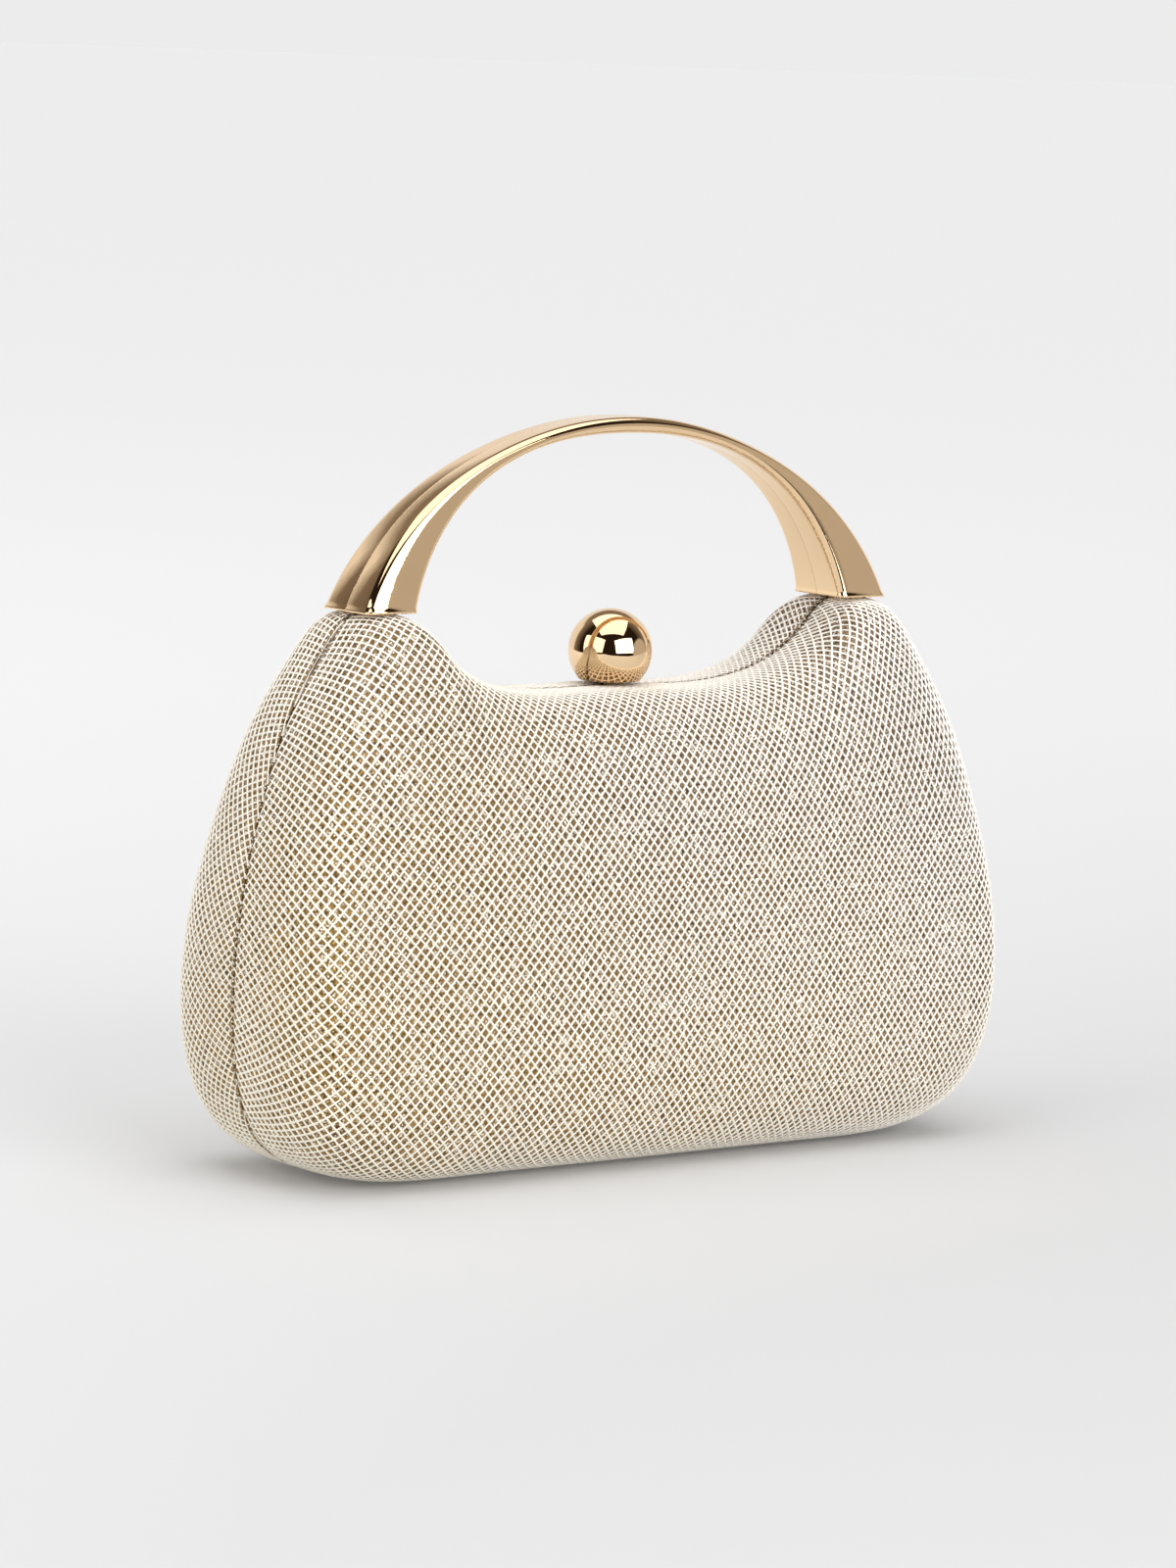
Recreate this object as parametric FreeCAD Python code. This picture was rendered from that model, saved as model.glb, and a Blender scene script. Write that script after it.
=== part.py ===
"""Evening bag: a padded hard case in two halves that open like a shell about a hinge along
the bottom, with a split arch handle and a ball clasp on top.

Frame: X is the width, -Y is the front, +Z is up. The origin is under the middle of the bag.
The halves meet in the plane y = 0. All sizes are in millimetres.
"""
import FreeCAD, Part
import math
import os

from FreeCAD import Vector

os.makedirs("parts", exist_ok=True)

# ---- body outline in the parting plane, from the middle of the bottom to the middle of the top
HALF_WIDTH = 100.0
WIDEST_Z = 42.0
BASE_HALF_LENGTH = 50.0
BOTTOM_CORNER = (91.5, 8.5)
UPPER_SIDE = (94.4, 82.0)
NECK_SIDE = (85.6, 106.0)
SHOULDER_OUTER = (77.2, 119.0)
SHOULDER_Z = 125.0
SHOULDER_X = 66.8
SHOULDER_FLAT = 6.2
SHOULDER_FALL = 1.3
SHOULDER_INNER = (55.4, 118.6)
DIP_END = (43.0, 110.3)
DIP_Z = 106.6
BASE_SQUASH = 0.25

# ---- body depth and roundness
DEPTH_BASE = 35.5
DEPTH_TOP = 22.0
DEPTH_TOP_Z = 130.0
SIDE_ROUNDING = 12.0
SIDE_POWER = 2.6
FACE_POWER = 3.8
FACE_CENTRE_Z = 57.0
LEVELS = (0.0, 0.3, 0.52, 0.7, 0.83, 0.92, 0.97, 0.995)
OUTLINE_POINTS = 38

# ---- walls, from the outside in
PARTING_GAP = 0.4
COVER_T = 0.8
PADDING_T = 2.2
SHELL_T = 1.5
LINING_T = 0.5
LAYER_GAP = 0.05
FLANGE_T = 0.8
BAND_T = 0.8
BAND_GAP = 0.2
BAND_DEPTH = 3.0

# ---- hinge along the bottom
HINGE_Z = 1.7
HINGE_LENGTH = 84.0
KNUCKLES = 7
KNUCKLE_GAP = 0.2
BARREL_R = 1.25
PIN_R = 0.55
RUNNING_CLEARANCE = 0.05
LEAF_T = 0.7
LEAF_WIDTH = 12.0
SWING_CLEARANCE = 0.35
GROOVE_HALF = 2.1
RIVET_R = 0.8
RIVET_HEAD_R = 1.7
RIVET_HEAD_T = 0.55
HINGE_RIVET_Y = 8.2
HINGE_RIVETS_X = (-32.0, 0.0, 32.0)

# ---- split handle: outer and inner edge in front view, foot to crest
FOOT_Z = 125.1
HANDLE_OUTER = ((73.2, FOOT_Z), (66.0, 138.0), (54.5, 149.4), (35.5, 160.0), (17.5, 165.4))
HANDLE_OUTER_CREST = 167.1
HANDLE_INNER = ((59.8, FOOT_Z), (55.4, 136.5), (46.3, 148.6), (31.2, 158.2), (16.0, 162.3))
HANDLE_INNER_CREST = 163.4
HANDLE_DEPTH_FOOT = 8.8
HANDLE_DEPTH_CREST = 5.3
HANDLE_ROUNDING = 0.9
HANDLE_SECTIONS = 14
HANDLE_PARTING = 0.15
FOOT_SINK = 0.1
HANDLE_SCREW_X = 66.6
HANDLE_SCREW_Y = 5.6
HANDLE_SCREW_R = 1.2
HANDLE_SCREW_GRIP = 6.0
SCREW_HEAD_R = 2.2
SCREW_HEAD_T = 1.4
WASHER_R = 2.9
WASHER_T = 0.6
CLEARANCE = 0.15

# ---- ball clasp
BALL_R = 9.55
BALL_Z = 114.1
BALL_FLAT = 6.7
STEM_R = 1.25
STEM_GRIP = 8.0
STEM_SLOT_R = 1.8
PIVOT_Y = 8.5
PIVOT_Z = 93.0
LATCH_PIN_R = 1.0
LEVER_WIDTH = 7.0
LEVER_T = 2.2
LEVER_HUB_R = 2.4
LEVER_RISE = 1.4
NOSE_T = 1.4
NOSE_GAP = 0.3
BAR_T = 1.0
BAR_Y = -1.4
BAR_HEIGHT = 1.5
BAR_GAP = 0.4
HOOK_BITE = 1.2
KEEPER_LEG_T = 1.4
PLATE_T = 0.8
PLATE_LENGTH = 10.5
PLATE_HALF_WIDTH = 8.0
EAR_T = 1.2
EAR_HALF = 3.0
EAR_DROP = 3.0
SIDE_PLAY = 2.5
KEEPER_RIVET_X = 5.4
BRACKET_RIVET_X = 2.3
BRACKET_LENGTH = 9.2
BRACKET_PAD_LENGTH = 5.0
SPRING_WIRE_R = 0.3
SPRING_R = 1.9
SPRING_TURNS = 2.5

# ---- slip pocket on the back lining
POCKET_HALF_WIDTH = 42.0
POCKET_BOTTOM_Z = 24.0
POCKET_TOP_Z = 74.0
POCKET_T = 0.5
POCKET_SLACK = 2.4
POCKET_SEAM = 0.3

HALF_GAP = PARTING_GAP / 2
PADDING_IN = COVER_T + LAYER_GAP
SHELL_IN = PADDING_IN + PADDING_T + LAYER_GAP
LINING_IN = SHELL_IN + SHELL_T + LAYER_GAP
WALL = LINING_IN + LINING_T
BAND_IN = WALL + BAND_GAP
BAND_OUT = BAND_IN + BAND_T
EDGE_Y = HALF_GAP + FLANGE_T + LAYER_GAP
FAR = 300.0


def box(x0, x1, y0, y1, z0, z1):
    """Block between two corners."""
    return Part.makeBox(x1 - x0, y1 - y0, z1 - z0, Vector(x0, y0, z0))


def rod(radius, start, end):
    """Round bar from one point to another."""
    a, b = Vector(*start), Vector(*end)
    return Part.makeCylinder(radius, (b - a).Length, a, b - a)


def mirror_y(shape):
    """The same piece on the other half of the bag."""
    return shape.mirror(Vector(0, 0, 0), Vector(0, 1, 0))


def join(shapes):
    """One solid from pieces that overlap."""
    result = shapes[0]
    for shape in shapes[1:]:
        result = result.fuse(shape)
    return result.removeSplitter()


def save(name, shape):
    """Write one sub-component."""
    solids = shape.Solids
    assert solids and all(s.isValid() for s in solids), name
    result = solids[0] if len(solids) == 1 else Part.makeCompound(solids)
    result.exportStep(f"parts/{name}.step")
    print(f"{name}: {len(solids)} solid(s), {sum(s.Volume for s in solids):.0f} mm3")


# ---- form of the body ------------------------------------------------------------------


def outline_curve():
    """Spline through the outline's right side, level where it crosses the middle."""
    points = [
        (0.0, -BASE_SQUASH),
        (BASE_HALF_LENGTH, -BASE_SQUASH),
        BOTTOM_CORNER,
        (HALF_WIDTH, WIDEST_Z),
        UPPER_SIDE,
        NECK_SIDE,
        SHOULDER_OUTER,
        (SHOULDER_X + SHOULDER_FLAT, SHOULDER_Z - SHOULDER_FALL),
        (SHOULDER_X, SHOULDER_Z),
        (SHOULDER_X - SHOULDER_FLAT, SHOULDER_Z - SHOULDER_FALL),
        SHOULDER_INNER,
        DIP_END,
        (0.0, DIP_Z),
    ]
    curve = Part.BSplineCurve()
    curve.interpolate(
        Points=[Vector(x, 0, z) for x, z in points],
        InitialTangent=Vector(1, 0, 0),
        FinalTangent=Vector(-1, 0, 0),
    )
    return curve


def outline_samples():
    """Points on the outline with their outward normals: the right side, then its mirror."""
    curve = outline_curve()
    first, last = curve.FirstParameter, curve.LastParameter
    right = []
    for i in range(OUTLINE_POINTS + 1):
        place = first + (last - first) * i / OUTLINE_POINTS
        along = curve.tangent(place)[0]
        right.append((curve.value(place), Vector(along.z, 0, -along.x)))
    left = [(Vector(-p.x, 0, p.z), Vector(-n.x, 0, n.z)) for p, n in right[-2:0:-1]]
    return right + left


SAMPLES = outline_samples()


def half_depth(z, inset):
    """Depth of one half at height z: it narrows evenly from the base to the top."""
    return DEPTH_BASE + (DEPTH_TOP - DEPTH_BASE) * z / DEPTH_TOP_Z - inset


def level_wire(level, inset, start_y):
    """Closed curve round the body where its surface stands at this share of the depth.

    The sides come in by a rounded edge, and top and bottom close towards the face's centre
    line, both as superellipses. The curve lies in one tilted plane.
    """
    side = 1 - (1 - level**SIDE_POWER) ** (1 / SIDE_POWER)
    face = (1 - level**FACE_POWER) ** (1 / FACE_POWER)
    points = []
    for point, normal in SAMPLES:
        edge = point - normal * inset
        x = edge.x * (1 - (SIDE_ROUNDING - inset) / HALF_WIDTH * side)
        z = FACE_CENTRE_Z + (edge.z - FACE_CENTRE_Z) * face
        y = start_y if level == 0 else half_depth(z, inset) * level
        points.append(Vector(x, -y, z))
    curve = Part.BSplineCurve()
    curve.interpolate(Points=points, PeriodicFlag=True)
    return Part.Wire([curve.toShape()])


def form(inset, start_y):
    """Solid front half of the body, inset from the outside all over."""
    wires = [level_wire(level, inset, start_y) for level in LEVELS]
    solid = Part.makeLoft(wires, True, False, False)
    if start_y < 0:
        return solid
    return solid.common(box(-FAR, FAR, -FAR, -start_y, -FAR, FAR))


def layer(outer, inner, start_y):
    """One wall layer of the front half, between two insets, behind the parting plane."""
    room = form(inner, -1.0)
    return form(outer, start_y).cut(room)


def rim(outer, inner, start_y, depth):
    """Band that follows the outline between two insets."""
    block = Part.Face(level_wire(0.0, outer, start_y)).extrude(Vector(0, -depth, 0))
    hole = Part.Face(level_wire(0.0, inner, start_y - 1.0)).extrude(Vector(0, -depth - 2.0, 0))
    return block.cut(hole)


# ---- shared cuts -------------------------------------------------------------------------


def swing_wedge():
    """Room under the hinge axis so that the halves' lower edges pass each other."""
    reach = HINGE_Z + 1.0
    corners = [
        Vector(-FAR, 0.0, HINGE_Z + SWING_CLEARANCE),
        Vector(-FAR, -reach - SWING_CLEARANCE, HINGE_Z - reach),
        Vector(-FAR, reach + SWING_CLEARANCE, HINGE_Z - reach),
    ]
    face = Part.Face(Part.makePolygon(corners + corners[:1]))
    return face.extrude(Vector(2 * FAR, 0, 0))


def barrel_room():
    """Groove that holds the hinge barrel."""
    half = HINGE_LENGTH / 2 + SWING_CLEARANCE
    top = HINGE_Z + BARREL_R + SWING_CLEARANCE
    return box(-half, half, -GROOVE_HALF, GROOVE_HALF, -1.0, top)


def foot_seats():
    """Flats that the handle's feet press into the covered shoulders."""
    inner, outer = HANDLE_INNER[0][0] - CLEARANCE, HANDLE_OUTER[0][0] + CLEARANCE
    depth = HANDLE_DEPTH_FOOT + CLEARANCE
    low = FOOT_Z - FOOT_SINK
    right = box(inner, outer, -depth, 0.0, low, low + 10)
    return right.fuse(box(-outer, -inner, -depth, 0.0, low, low + 10))


def handle_screw_sites():
    """Axis of each handle screw on the front half."""
    return [(side * HANDLE_SCREW_X, -HANDLE_SCREW_Y) for side in (-1, 1)]


def hinge_rivet_sites():
    """Axis of each hinge rivet on the front half."""
    return [(x, -HINGE_RIVET_Y) for x in HINGE_RIVETS_X]


WASHER_TOP = SHOULDER_Z - WALL - 1.6
LEAF_TOP = SHELL_IN - 3 * LAYER_GAP - BASE_SQUASH
LEAF_LOW = LEAF_TOP - LEAF_T
INNER_FLOOR = WALL - BASE_SQUASH + 2 * CLEARANCE
PLATE_TOP = DIP_Z - BAND_OUT - LAYER_GAP
PAD_TOP = DIP_Z - WALL - 2 * LAYER_GAP
PLATE_LOW = PLATE_TOP - PLATE_T
BRACKET_Y = STEM_SLOT_R * 2 + 1.4
KEEPER_FRONT_Y = BAR_Y + BAR_T / 2 - PLATE_LENGTH
KEEPER_PAD_Y = -HALF_GAP - BAND_DEPTH - 0.4
KEEPER_RIVET_Y = 8.6
KEEPER_RIVET_TOP = DIP_Z - SHELL_IN + LAYER_GAP
BRACKET_RIVET_Y = 12.2
BRACKET_RIVET_TOP = KEEPER_RIVET_TOP - 1.25


def screw_holes(radius, extra=0.0):
    """Holes for the handle screws from inside the shoulder to the foot."""
    holes = []
    for x, y in handle_screw_sites():
        holes.append(rod(radius + CLEARANCE, (x, y, WASHER_TOP - 20), (x, y, FOOT_Z + extra)))
    return Part.makeCompound(holes)


def washer_seats():
    """Flat seats for the load washers inside the shoulders."""
    seats = [
        rod(WASHER_R + CLEARANCE, (x, y, WASHER_TOP - 12), (x, y, WASHER_TOP + LAYER_GAP))
        for x, y in handle_screw_sites()
    ]
    return Part.makeCompound(seats)


def hinge_rivet_holes(radius):
    """Holes for the hinge rivets through the base."""
    holes = [
        rod(radius, (x, y, LEAF_LOW - RIVET_HEAD_T - 1), (x, y, INNER_FLOOR + 1))
        for x, y in hinge_rivet_sites()
    ]
    return Part.makeCompound(holes)


def clasp_rivets(front, radius, low, high):
    """Shanks of the two rivets of a clasp plate, between two heights."""
    x = KEEPER_RIVET_X if front else BRACKET_RIVET_X
    y = KEEPER_RIVET_Y if front else BRACKET_RIVET_Y
    return Part.makeCompound([rod(radius, (side * x, -y, low), (side * x, -y, high)) for side in (-1, 1)])


def clasp_seat(front):
    """Flat seat for a clasp plate and its pad on the inside of the top wall."""
    half = PLATE_HALF_WIDTH + CLEARANCE
    low = PLATE_LOW - 8
    if front:
        y0, y1 = KEEPER_FRONT_Y - CLEARANCE, KEEPER_PAD_Y + CLEARANCE
        return box(-half, half, y0, y1, low, PAD_TOP + LAYER_GAP)
    start = -BRACKET_Y + CLEARANCE
    plate = box(-half, half, -BRACKET_Y - BRACKET_LENGTH - CLEARANCE, start, low, PLATE_TOP + LAYER_GAP)
    pad = box(-half, half, -BRACKET_Y - BRACKET_PAD_LENGTH - CLEARANCE, start, low, PAD_TOP + LAYER_GAP)
    return plate.fuse(pad)


def leaf_pocket():
    """Room in the padding for a hinge leaf and its rivet heads."""
    half = HINGE_LENGTH / 2 + CLEARANCE
    leaf = box(-half, half, -LEAF_WIDTH - CLEARANCE, 0.0, LEAF_LOW - CLEARANCE, SHELL_IN + 1)
    return leaf.fuse(hinge_rivet_holes(RIVET_HEAD_R + CLEARANCE))


def stem_notch(front):
    """Opening in the top wall for the clasp's stem: open at the parting plane.

    Only the back half's runs on behind the stem, so that the stem can tilt.
    """
    run = 0.0 if front else STEM_SLOT_R + 1.2
    low, high = DIP_Z - BAND_OUT - 2, DIP_Z + 4
    hole = rod(STEM_SLOT_R, (0, -run, low), (0, -run, high))
    return hole.fuse(box(-STEM_SLOT_R, STEM_SLOT_R, -run, 1.0, low, high))


HINGE_CUTS = (swing_wedge(), barrel_room())


def half_walls(front):
    """Cover, padding, shell, lining and frame of one half, drawn as a front half."""
    notch = stem_notch(front)
    rivet_top = KEEPER_RIVET_TOP if front else BRACKET_RIVET_TOP
    heads = clasp_rivets(
        front, RIVET_HEAD_R + CLEARANCE, rivet_top - LAYER_GAP, rivet_top + RIVET_HEAD_T + CLEARANCE
    )
    shanks = clasp_rivets(front, RIVET_R + LAYER_GAP, PLATE_LOW - 1, rivet_top + 1)
    cover = layer(0.0, COVER_T, HALF_GAP).cut(box(-FAR, FAR, -FAR, FAR, -BASE_SQUASH - 5, 0.0))
    cover = cover.cut(foot_seats()).cut(screw_holes(HANDLE_SCREW_R, 1.0))
    padding = layer(PADDING_IN, PADDING_IN + PADDING_T, EDGE_Y)
    padding = padding.cut(leaf_pocket()).cut(foot_seats())
    padding = padding.cut(screw_holes(HANDLE_SCREW_R, 1.0))
    padding = padding.cut(heads).cut(shanks)
    shell = layer(SHELL_IN, SHELL_IN + SHELL_T, EDGE_Y)
    lining = layer(LINING_IN, WALL, EDGE_Y)
    frame = rim(PADDING_IN, BAND_OUT, HALF_GAP, FLANGE_T)
    frame = frame.fuse(rim(BAND_IN, BAND_OUT, HALF_GAP, BAND_DEPTH))
    walls = {"cover": cover, "padding": padding}
    for name, wall in (("shell", shell), ("lining", lining)):
        wall = wall.cut(screw_holes(HANDLE_SCREW_R)).cut(washer_seats())
        wall = wall.cut(hinge_rivet_holes(RIVET_R + LAYER_GAP)).cut(shanks)
        walls[name] = wall.cut(heads).cut(clasp_seat(front))
    walls["frame"] = frame
    for name in walls:
        for cutter in HINGE_CUTS + (notch,):
            walls[name] = walls[name].cut(cutter)
    return walls


FRONT = half_walls(True)
BACK = half_walls(False)
for wall_name in FRONT:
    save(f"front_{wall_name}", FRONT[wall_name])
    save(f"back_{wall_name}", mirror_y(BACK[wall_name]))


# ---- slip pocket ----------------------------------------------------------------------------


def slip_pocket():
    """Flat fabric patch stitched to the back lining on three sides, bowed open at its top."""
    def wall_y(z, level=1.0):
        face = abs(z - FACE_CENTRE_Z) / FACE_CENTRE_Z
        share = (1 - face**FACE_POWER) ** (1 / FACE_POWER)
        return half_depth(z, WALL) * share * level - LAYER_GAP

    rows = []
    steps = 6
    for offset in (0.0, POCKET_T):
        row = []
        for i in range(steps + 1):
            z = POCKET_BOTTOM_Z + (POCKET_TOP_Z - POCKET_BOTTOM_Z) * i / steps
            bow = POCKET_SEAM + POCKET_SLACK * i / steps
            row.append(Vector(-POCKET_HALF_WIDTH, wall_y(z, max(LEVELS)) - bow - offset, z))
        rows.append(row)
    loop = rows[0] + rows[1][::-1]
    face = Part.Face(Part.makePolygon(loop + loop[:1]))
    return face.extrude(Vector(2 * POCKET_HALF_WIDTH, 0, 0))


save("slip_pocket", slip_pocket())


# ---- hinge -----------------------------------------------------------------------------------


def knuckle_spans(first):
    """X range of every other knuckle, from the first or the second one."""
    pitch = HINGE_LENGTH / KNUCKLES
    spans = []
    for i in range(first, KNUCKLES, 2):
        start = -HINGE_LENGTH / 2 + i * pitch
        spans.append((start + KNUCKLE_GAP / 2, start + pitch - KNUCKLE_GAP / 2))
    return spans


def hinge_leaf(first):
    """Flat leaf under the shell with knuckles that wrap the pin, drawn for the front half."""
    half = HINGE_LENGTH / 2
    plate = box(-half, half, -LEAF_WIDTH, -HALF_GAP, LEAF_LOW, LEAF_TOP)
    knuckles = [rod(BARREL_R, (a, 0, HINGE_Z), (b, 0, HINGE_Z)) for a, b in knuckle_spans(first)]
    links = [
        box(a, b, -GROOVE_HALF, 0.0, LEAF_LOW, HINGE_Z + BARREL_R) for a, b in knuckle_spans(first)
    ]
    leaf = join([plate] + knuckles + links)
    for a, b in knuckle_spans(1 - first):
        room_r = BARREL_R + SWING_CLEARANCE
        leaf = leaf.cut(rod(room_r, (a - KNUCKLE_GAP, 0, HINGE_Z), (b + KNUCKLE_GAP, 0, HINGE_Z)))
    leaf = leaf.cut(rod(PIN_R + RUNNING_CLEARANCE, (-half - 1, 0, HINGE_Z), (half + 1, 0, HINGE_Z)))
    return leaf.cut(hinge_rivet_holes(RIVET_R + LAYER_GAP))


save("front_hinge_leaf", hinge_leaf(0))
save("back_hinge_leaf", mirror_y(hinge_leaf(1)))
save("hinge_pin", rod(PIN_R, (-HINGE_LENGTH / 2, 0, HINGE_Z), (HINGE_LENGTH / 2, 0, HINGE_Z)))


def upright_rivet(x, y, low, high):
    """Rivet with a head under its lower face and another over its upper face."""
    shank = rod(RIVET_R, (x, y, low), (x, y, high))
    foot = rod(RIVET_HEAD_R, (x, y, low - RIVET_HEAD_T), (x, y, low))
    head = rod(RIVET_HEAD_R, (x, y, high), (x, y, high + RIVET_HEAD_T))
    return join([shank, foot, head])


hinge_rivets = Part.makeCompound(
    [upright_rivet(x, y, LEAF_LOW - LAYER_GAP, INNER_FLOOR + LAYER_GAP) for x, y in hinge_rivet_sites()]
)
save("front_hinge_rivets", hinge_rivets)
save("back_hinge_rivets", mirror_y(hinge_rivets))


# ---- handle ----------------------------------------------------------------------------------


def arch_curve(foot_side, crest):
    """Smooth arch through its right side's points, mirrored to the left."""
    right = list(foot_side) + [(0.0, crest)]
    left = [(-x, z) for x, z in reversed(right[:-1])]
    curve = Part.BSplineCurve()
    curve.interpolate([Vector(x, 0, z) for x, z in right + left])
    return curve


def handle_section(outer, inner, depth):
    """Section of the front half of the handle: flat at the parting plane, rounded in front."""
    across = (inner - outer).normalize()
    front = Vector(0, -1, 0)
    r = HANDLE_ROUNDING
    near = front * HANDLE_PARTING
    far = front * depth
    turn = r * (1 - math.sqrt(0.5))
    a, b = outer + near, outer + far - front * r
    c, d = outer + far + across * r, inner + far - across * r
    e, f = inner + far - front * r, inner + near
    mid_outer = outer + far + across * turn - front * turn
    mid_inner = inner + far - across * turn - front * turn
    edges = [
        Part.makeLine(a, b),
        Part.Arc(b, mid_outer, c).toShape(),
        Part.makeLine(c, d),
        Part.Arc(d, mid_inner, e).toShape(),
        Part.makeLine(e, f),
        Part.makeLine(f, a),
    ]
    return Part.Wire(edges)


def handle_half():
    """Front half of the arch, from foot to foot."""
    outer = arch_curve(HANDLE_OUTER, HANDLE_OUTER_CREST)
    inner = arch_curve(HANDLE_INNER, HANDLE_INNER_CREST)
    outer_points = outer.discretize(2 * HANDLE_SECTIONS + 1)
    inner_points = inner.discretize(2 * HANDLE_SECTIONS + 1)
    wires = []
    for i, (o, n) in enumerate(zip(outer_points, inner_points)):
        share = 1 - abs(i - HANDLE_SECTIONS) / HANDLE_SECTIONS
        depth = HANDLE_DEPTH_FOOT + (HANDLE_DEPTH_CREST - HANDLE_DEPTH_FOOT) * math.sin(share * math.pi / 2)
        wires.append(handle_section(o, n, depth))
    arch = Part.makeLoft(wires, True, False, False)
    threads = [
        rod(HANDLE_SCREW_R + LAYER_GAP, (x, y, FOOT_Z - 1), (x, y, FOOT_Z + HANDLE_SCREW_GRIP))
        for x, y in handle_screw_sites()
    ]
    return arch.cut(Part.makeCompound(threads))


def handle_screw(x, y):
    """Screw from inside the shoulder into the handle's foot, head down."""
    seat = WASHER_TOP - WASHER_T - LAYER_GAP
    shank = rod(HANDLE_SCREW_R, (x, y, seat), (x, y, FOOT_Z + HANDLE_SCREW_GRIP - 0.5))
    return shank.fuse(rod(SCREW_HEAD_R, (x, y, seat - SCREW_HEAD_T), (x, y, seat)))


def handle_washer(x, y):
    """Load washer under the screw's head."""
    disc = rod(WASHER_R, (x, y, WASHER_TOP - WASHER_T), (x, y, WASHER_TOP))
    return disc.cut(rod(HANDLE_SCREW_R + CLEARANCE, (x, y, WASHER_TOP - 5), (x, y, WASHER_TOP + 5)))


handle = handle_half()
screws = Part.makeCompound([handle_screw(x, y) for x, y in handle_screw_sites()])
washers = Part.makeCompound([handle_washer(x, y) for x, y in handle_screw_sites()])
save("front_handle", handle)
save("back_handle", mirror_y(handle))
save("front_handle_screws", screws)
save("back_handle_screws", mirror_y(screws))
save("front_handle_washers", washers)
save("back_handle_washers", mirror_y(washers))


# ---- ball clasp --------------------------------------------------------------------------------

BALL_BASE = BALL_Z - BALL_FLAT
LEVER_LOW = PIVOT_Z + LEVER_RISE
LEVER_TOP = LEVER_LOW + LEVER_T
BAR_TOP = LEVER_LOW - BAR_GAP
NOSE_BACK = BAR_Y - BAR_T / 2 - NOSE_GAP
NOSE_FRONT = NOSE_BACK - NOSE_T
NOSE_LOW = BAR_TOP - HOOK_BITE
EAR_IN = LEVER_WIDTH / 2 + SIDE_PLAY
EAR_OUT = EAR_IN + EAR_T


def ball_knob():
    """Ball cut flat underneath, with a threaded hole for the stem."""
    ball = Part.makeSphere(BALL_R, Vector(0, 0, BALL_Z))
    ball = ball.common(box(-FAR, FAR, -FAR, FAR, BALL_BASE, FAR))
    return ball.cut(rod(STEM_R + LAYER_GAP, (0, 0, BALL_BASE - 1), (0, 0, BALL_BASE + STEM_GRIP)))


def ball_stem():
    """Stem that carries the ball on the lever."""
    return rod(STEM_R, (0, 0, LEVER_LOW), (0, 0, BALL_BASE + STEM_GRIP - 0.5))


def latch_lever():
    """Rocking lever: a hub round the pin, an arm to the front and a nose that hooks the keeper."""
    half = LEVER_WIDTH / 2
    hub = rod(LEVER_HUB_R, (-half, PIVOT_Y, PIVOT_Z), (half, PIVOT_Y, PIVOT_Z))
    arm = box(-half, half, NOSE_FRONT, PIVOT_Y, LEVER_LOW, LEVER_TOP)
    rear = box(-half, half, PIVOT_Y - LEVER_HUB_R, PIVOT_Y, PIVOT_Z, LEVER_TOP)
    nose = box(-half, half, NOSE_FRONT, NOSE_BACK, NOSE_LOW, LEVER_TOP)
    lever = join([hub, arm, rear, nose])
    lever = lever.cut(rod(LATCH_PIN_R + RUNNING_CLEARANCE, (-FAR, PIVOT_Y, PIVOT_Z), (FAR, PIVOT_Y, PIVOT_Z)))
    return lever.cut(rod(STEM_R + LAYER_GAP, (0, 0, LEVER_LOW - 1), (0, 0, LEVER_TOP + 1)))


def latch_bracket():
    """Plate riveted inside the back half's top wall, with two ears for the lever's pin."""
    half, start = PLATE_HALF_WIDTH, BRACKET_Y
    plate = box(-half, half, start, start + BRACKET_LENGTH, PLATE_LOW, PLATE_TOP)
    pad = box(-half, half, start, start + BRACKET_PAD_LENGTH, PLATE_LOW, PAD_TOP)
    low = PIVOT_Z - EAR_DROP
    ears = [
        box(side * EAR_IN if side > 0 else -EAR_OUT, EAR_OUT if side > 0 else -EAR_IN,
            PIVOT_Y - EAR_HALF, PIVOT_Y + EAR_HALF, low, PLATE_LOW + 0.1)
        for side in (-1, 1)
    ]
    bracket = join([plate, pad] + ears)
    bracket = bracket.cut(rod(LATCH_PIN_R + LAYER_GAP, (-FAR, PIVOT_Y, PIVOT_Z), (FAR, PIVOT_Y, PIVOT_Z)))
    return bracket.cut(mirror_y(clasp_rivets(False, RIVET_R + LAYER_GAP, PLATE_LOW - 1, BRACKET_RIVET_TOP)))


def keeper():
    """Plate riveted inside the front half's top wall, with a bar that the nose hooks."""
    half = LEVER_WIDTH / 2 + 0.7
    legs_out = half + KEEPER_LEG_T
    y0, y1 = BAR_Y - BAR_T / 2, BAR_Y + BAR_T / 2
    wide = PLATE_HALF_WIDTH
    plate = box(-wide, wide, KEEPER_FRONT_Y, y1, PLATE_LOW, PLATE_TOP)
    pad = box(-wide, wide, KEEPER_FRONT_Y, KEEPER_PAD_Y, PLATE_LOW, PAD_TOP)
    slot = box(-half, half, NOSE_FRONT - 1.5, y1 + 1, PLATE_LOW - 1, PAD_TOP + 1)
    bar = box(-legs_out, legs_out, y0, y1, BAR_TOP - BAR_HEIGHT, BAR_TOP)
    legs = [
        box(half if side > 0 else -legs_out, legs_out if side > 0 else -half, y0, y1,
            BAR_TOP - BAR_HEIGHT, PLATE_LOW + 0.1)
        for side in (-1, 1)
    ]
    piece = join([plate.cut(slot), pad.cut(slot), bar] + legs)
    return piece.cut(clasp_rivets(True, RIVET_R + LAYER_GAP, PLATE_LOW - 1, KEEPER_RIVET_TOP))


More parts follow.
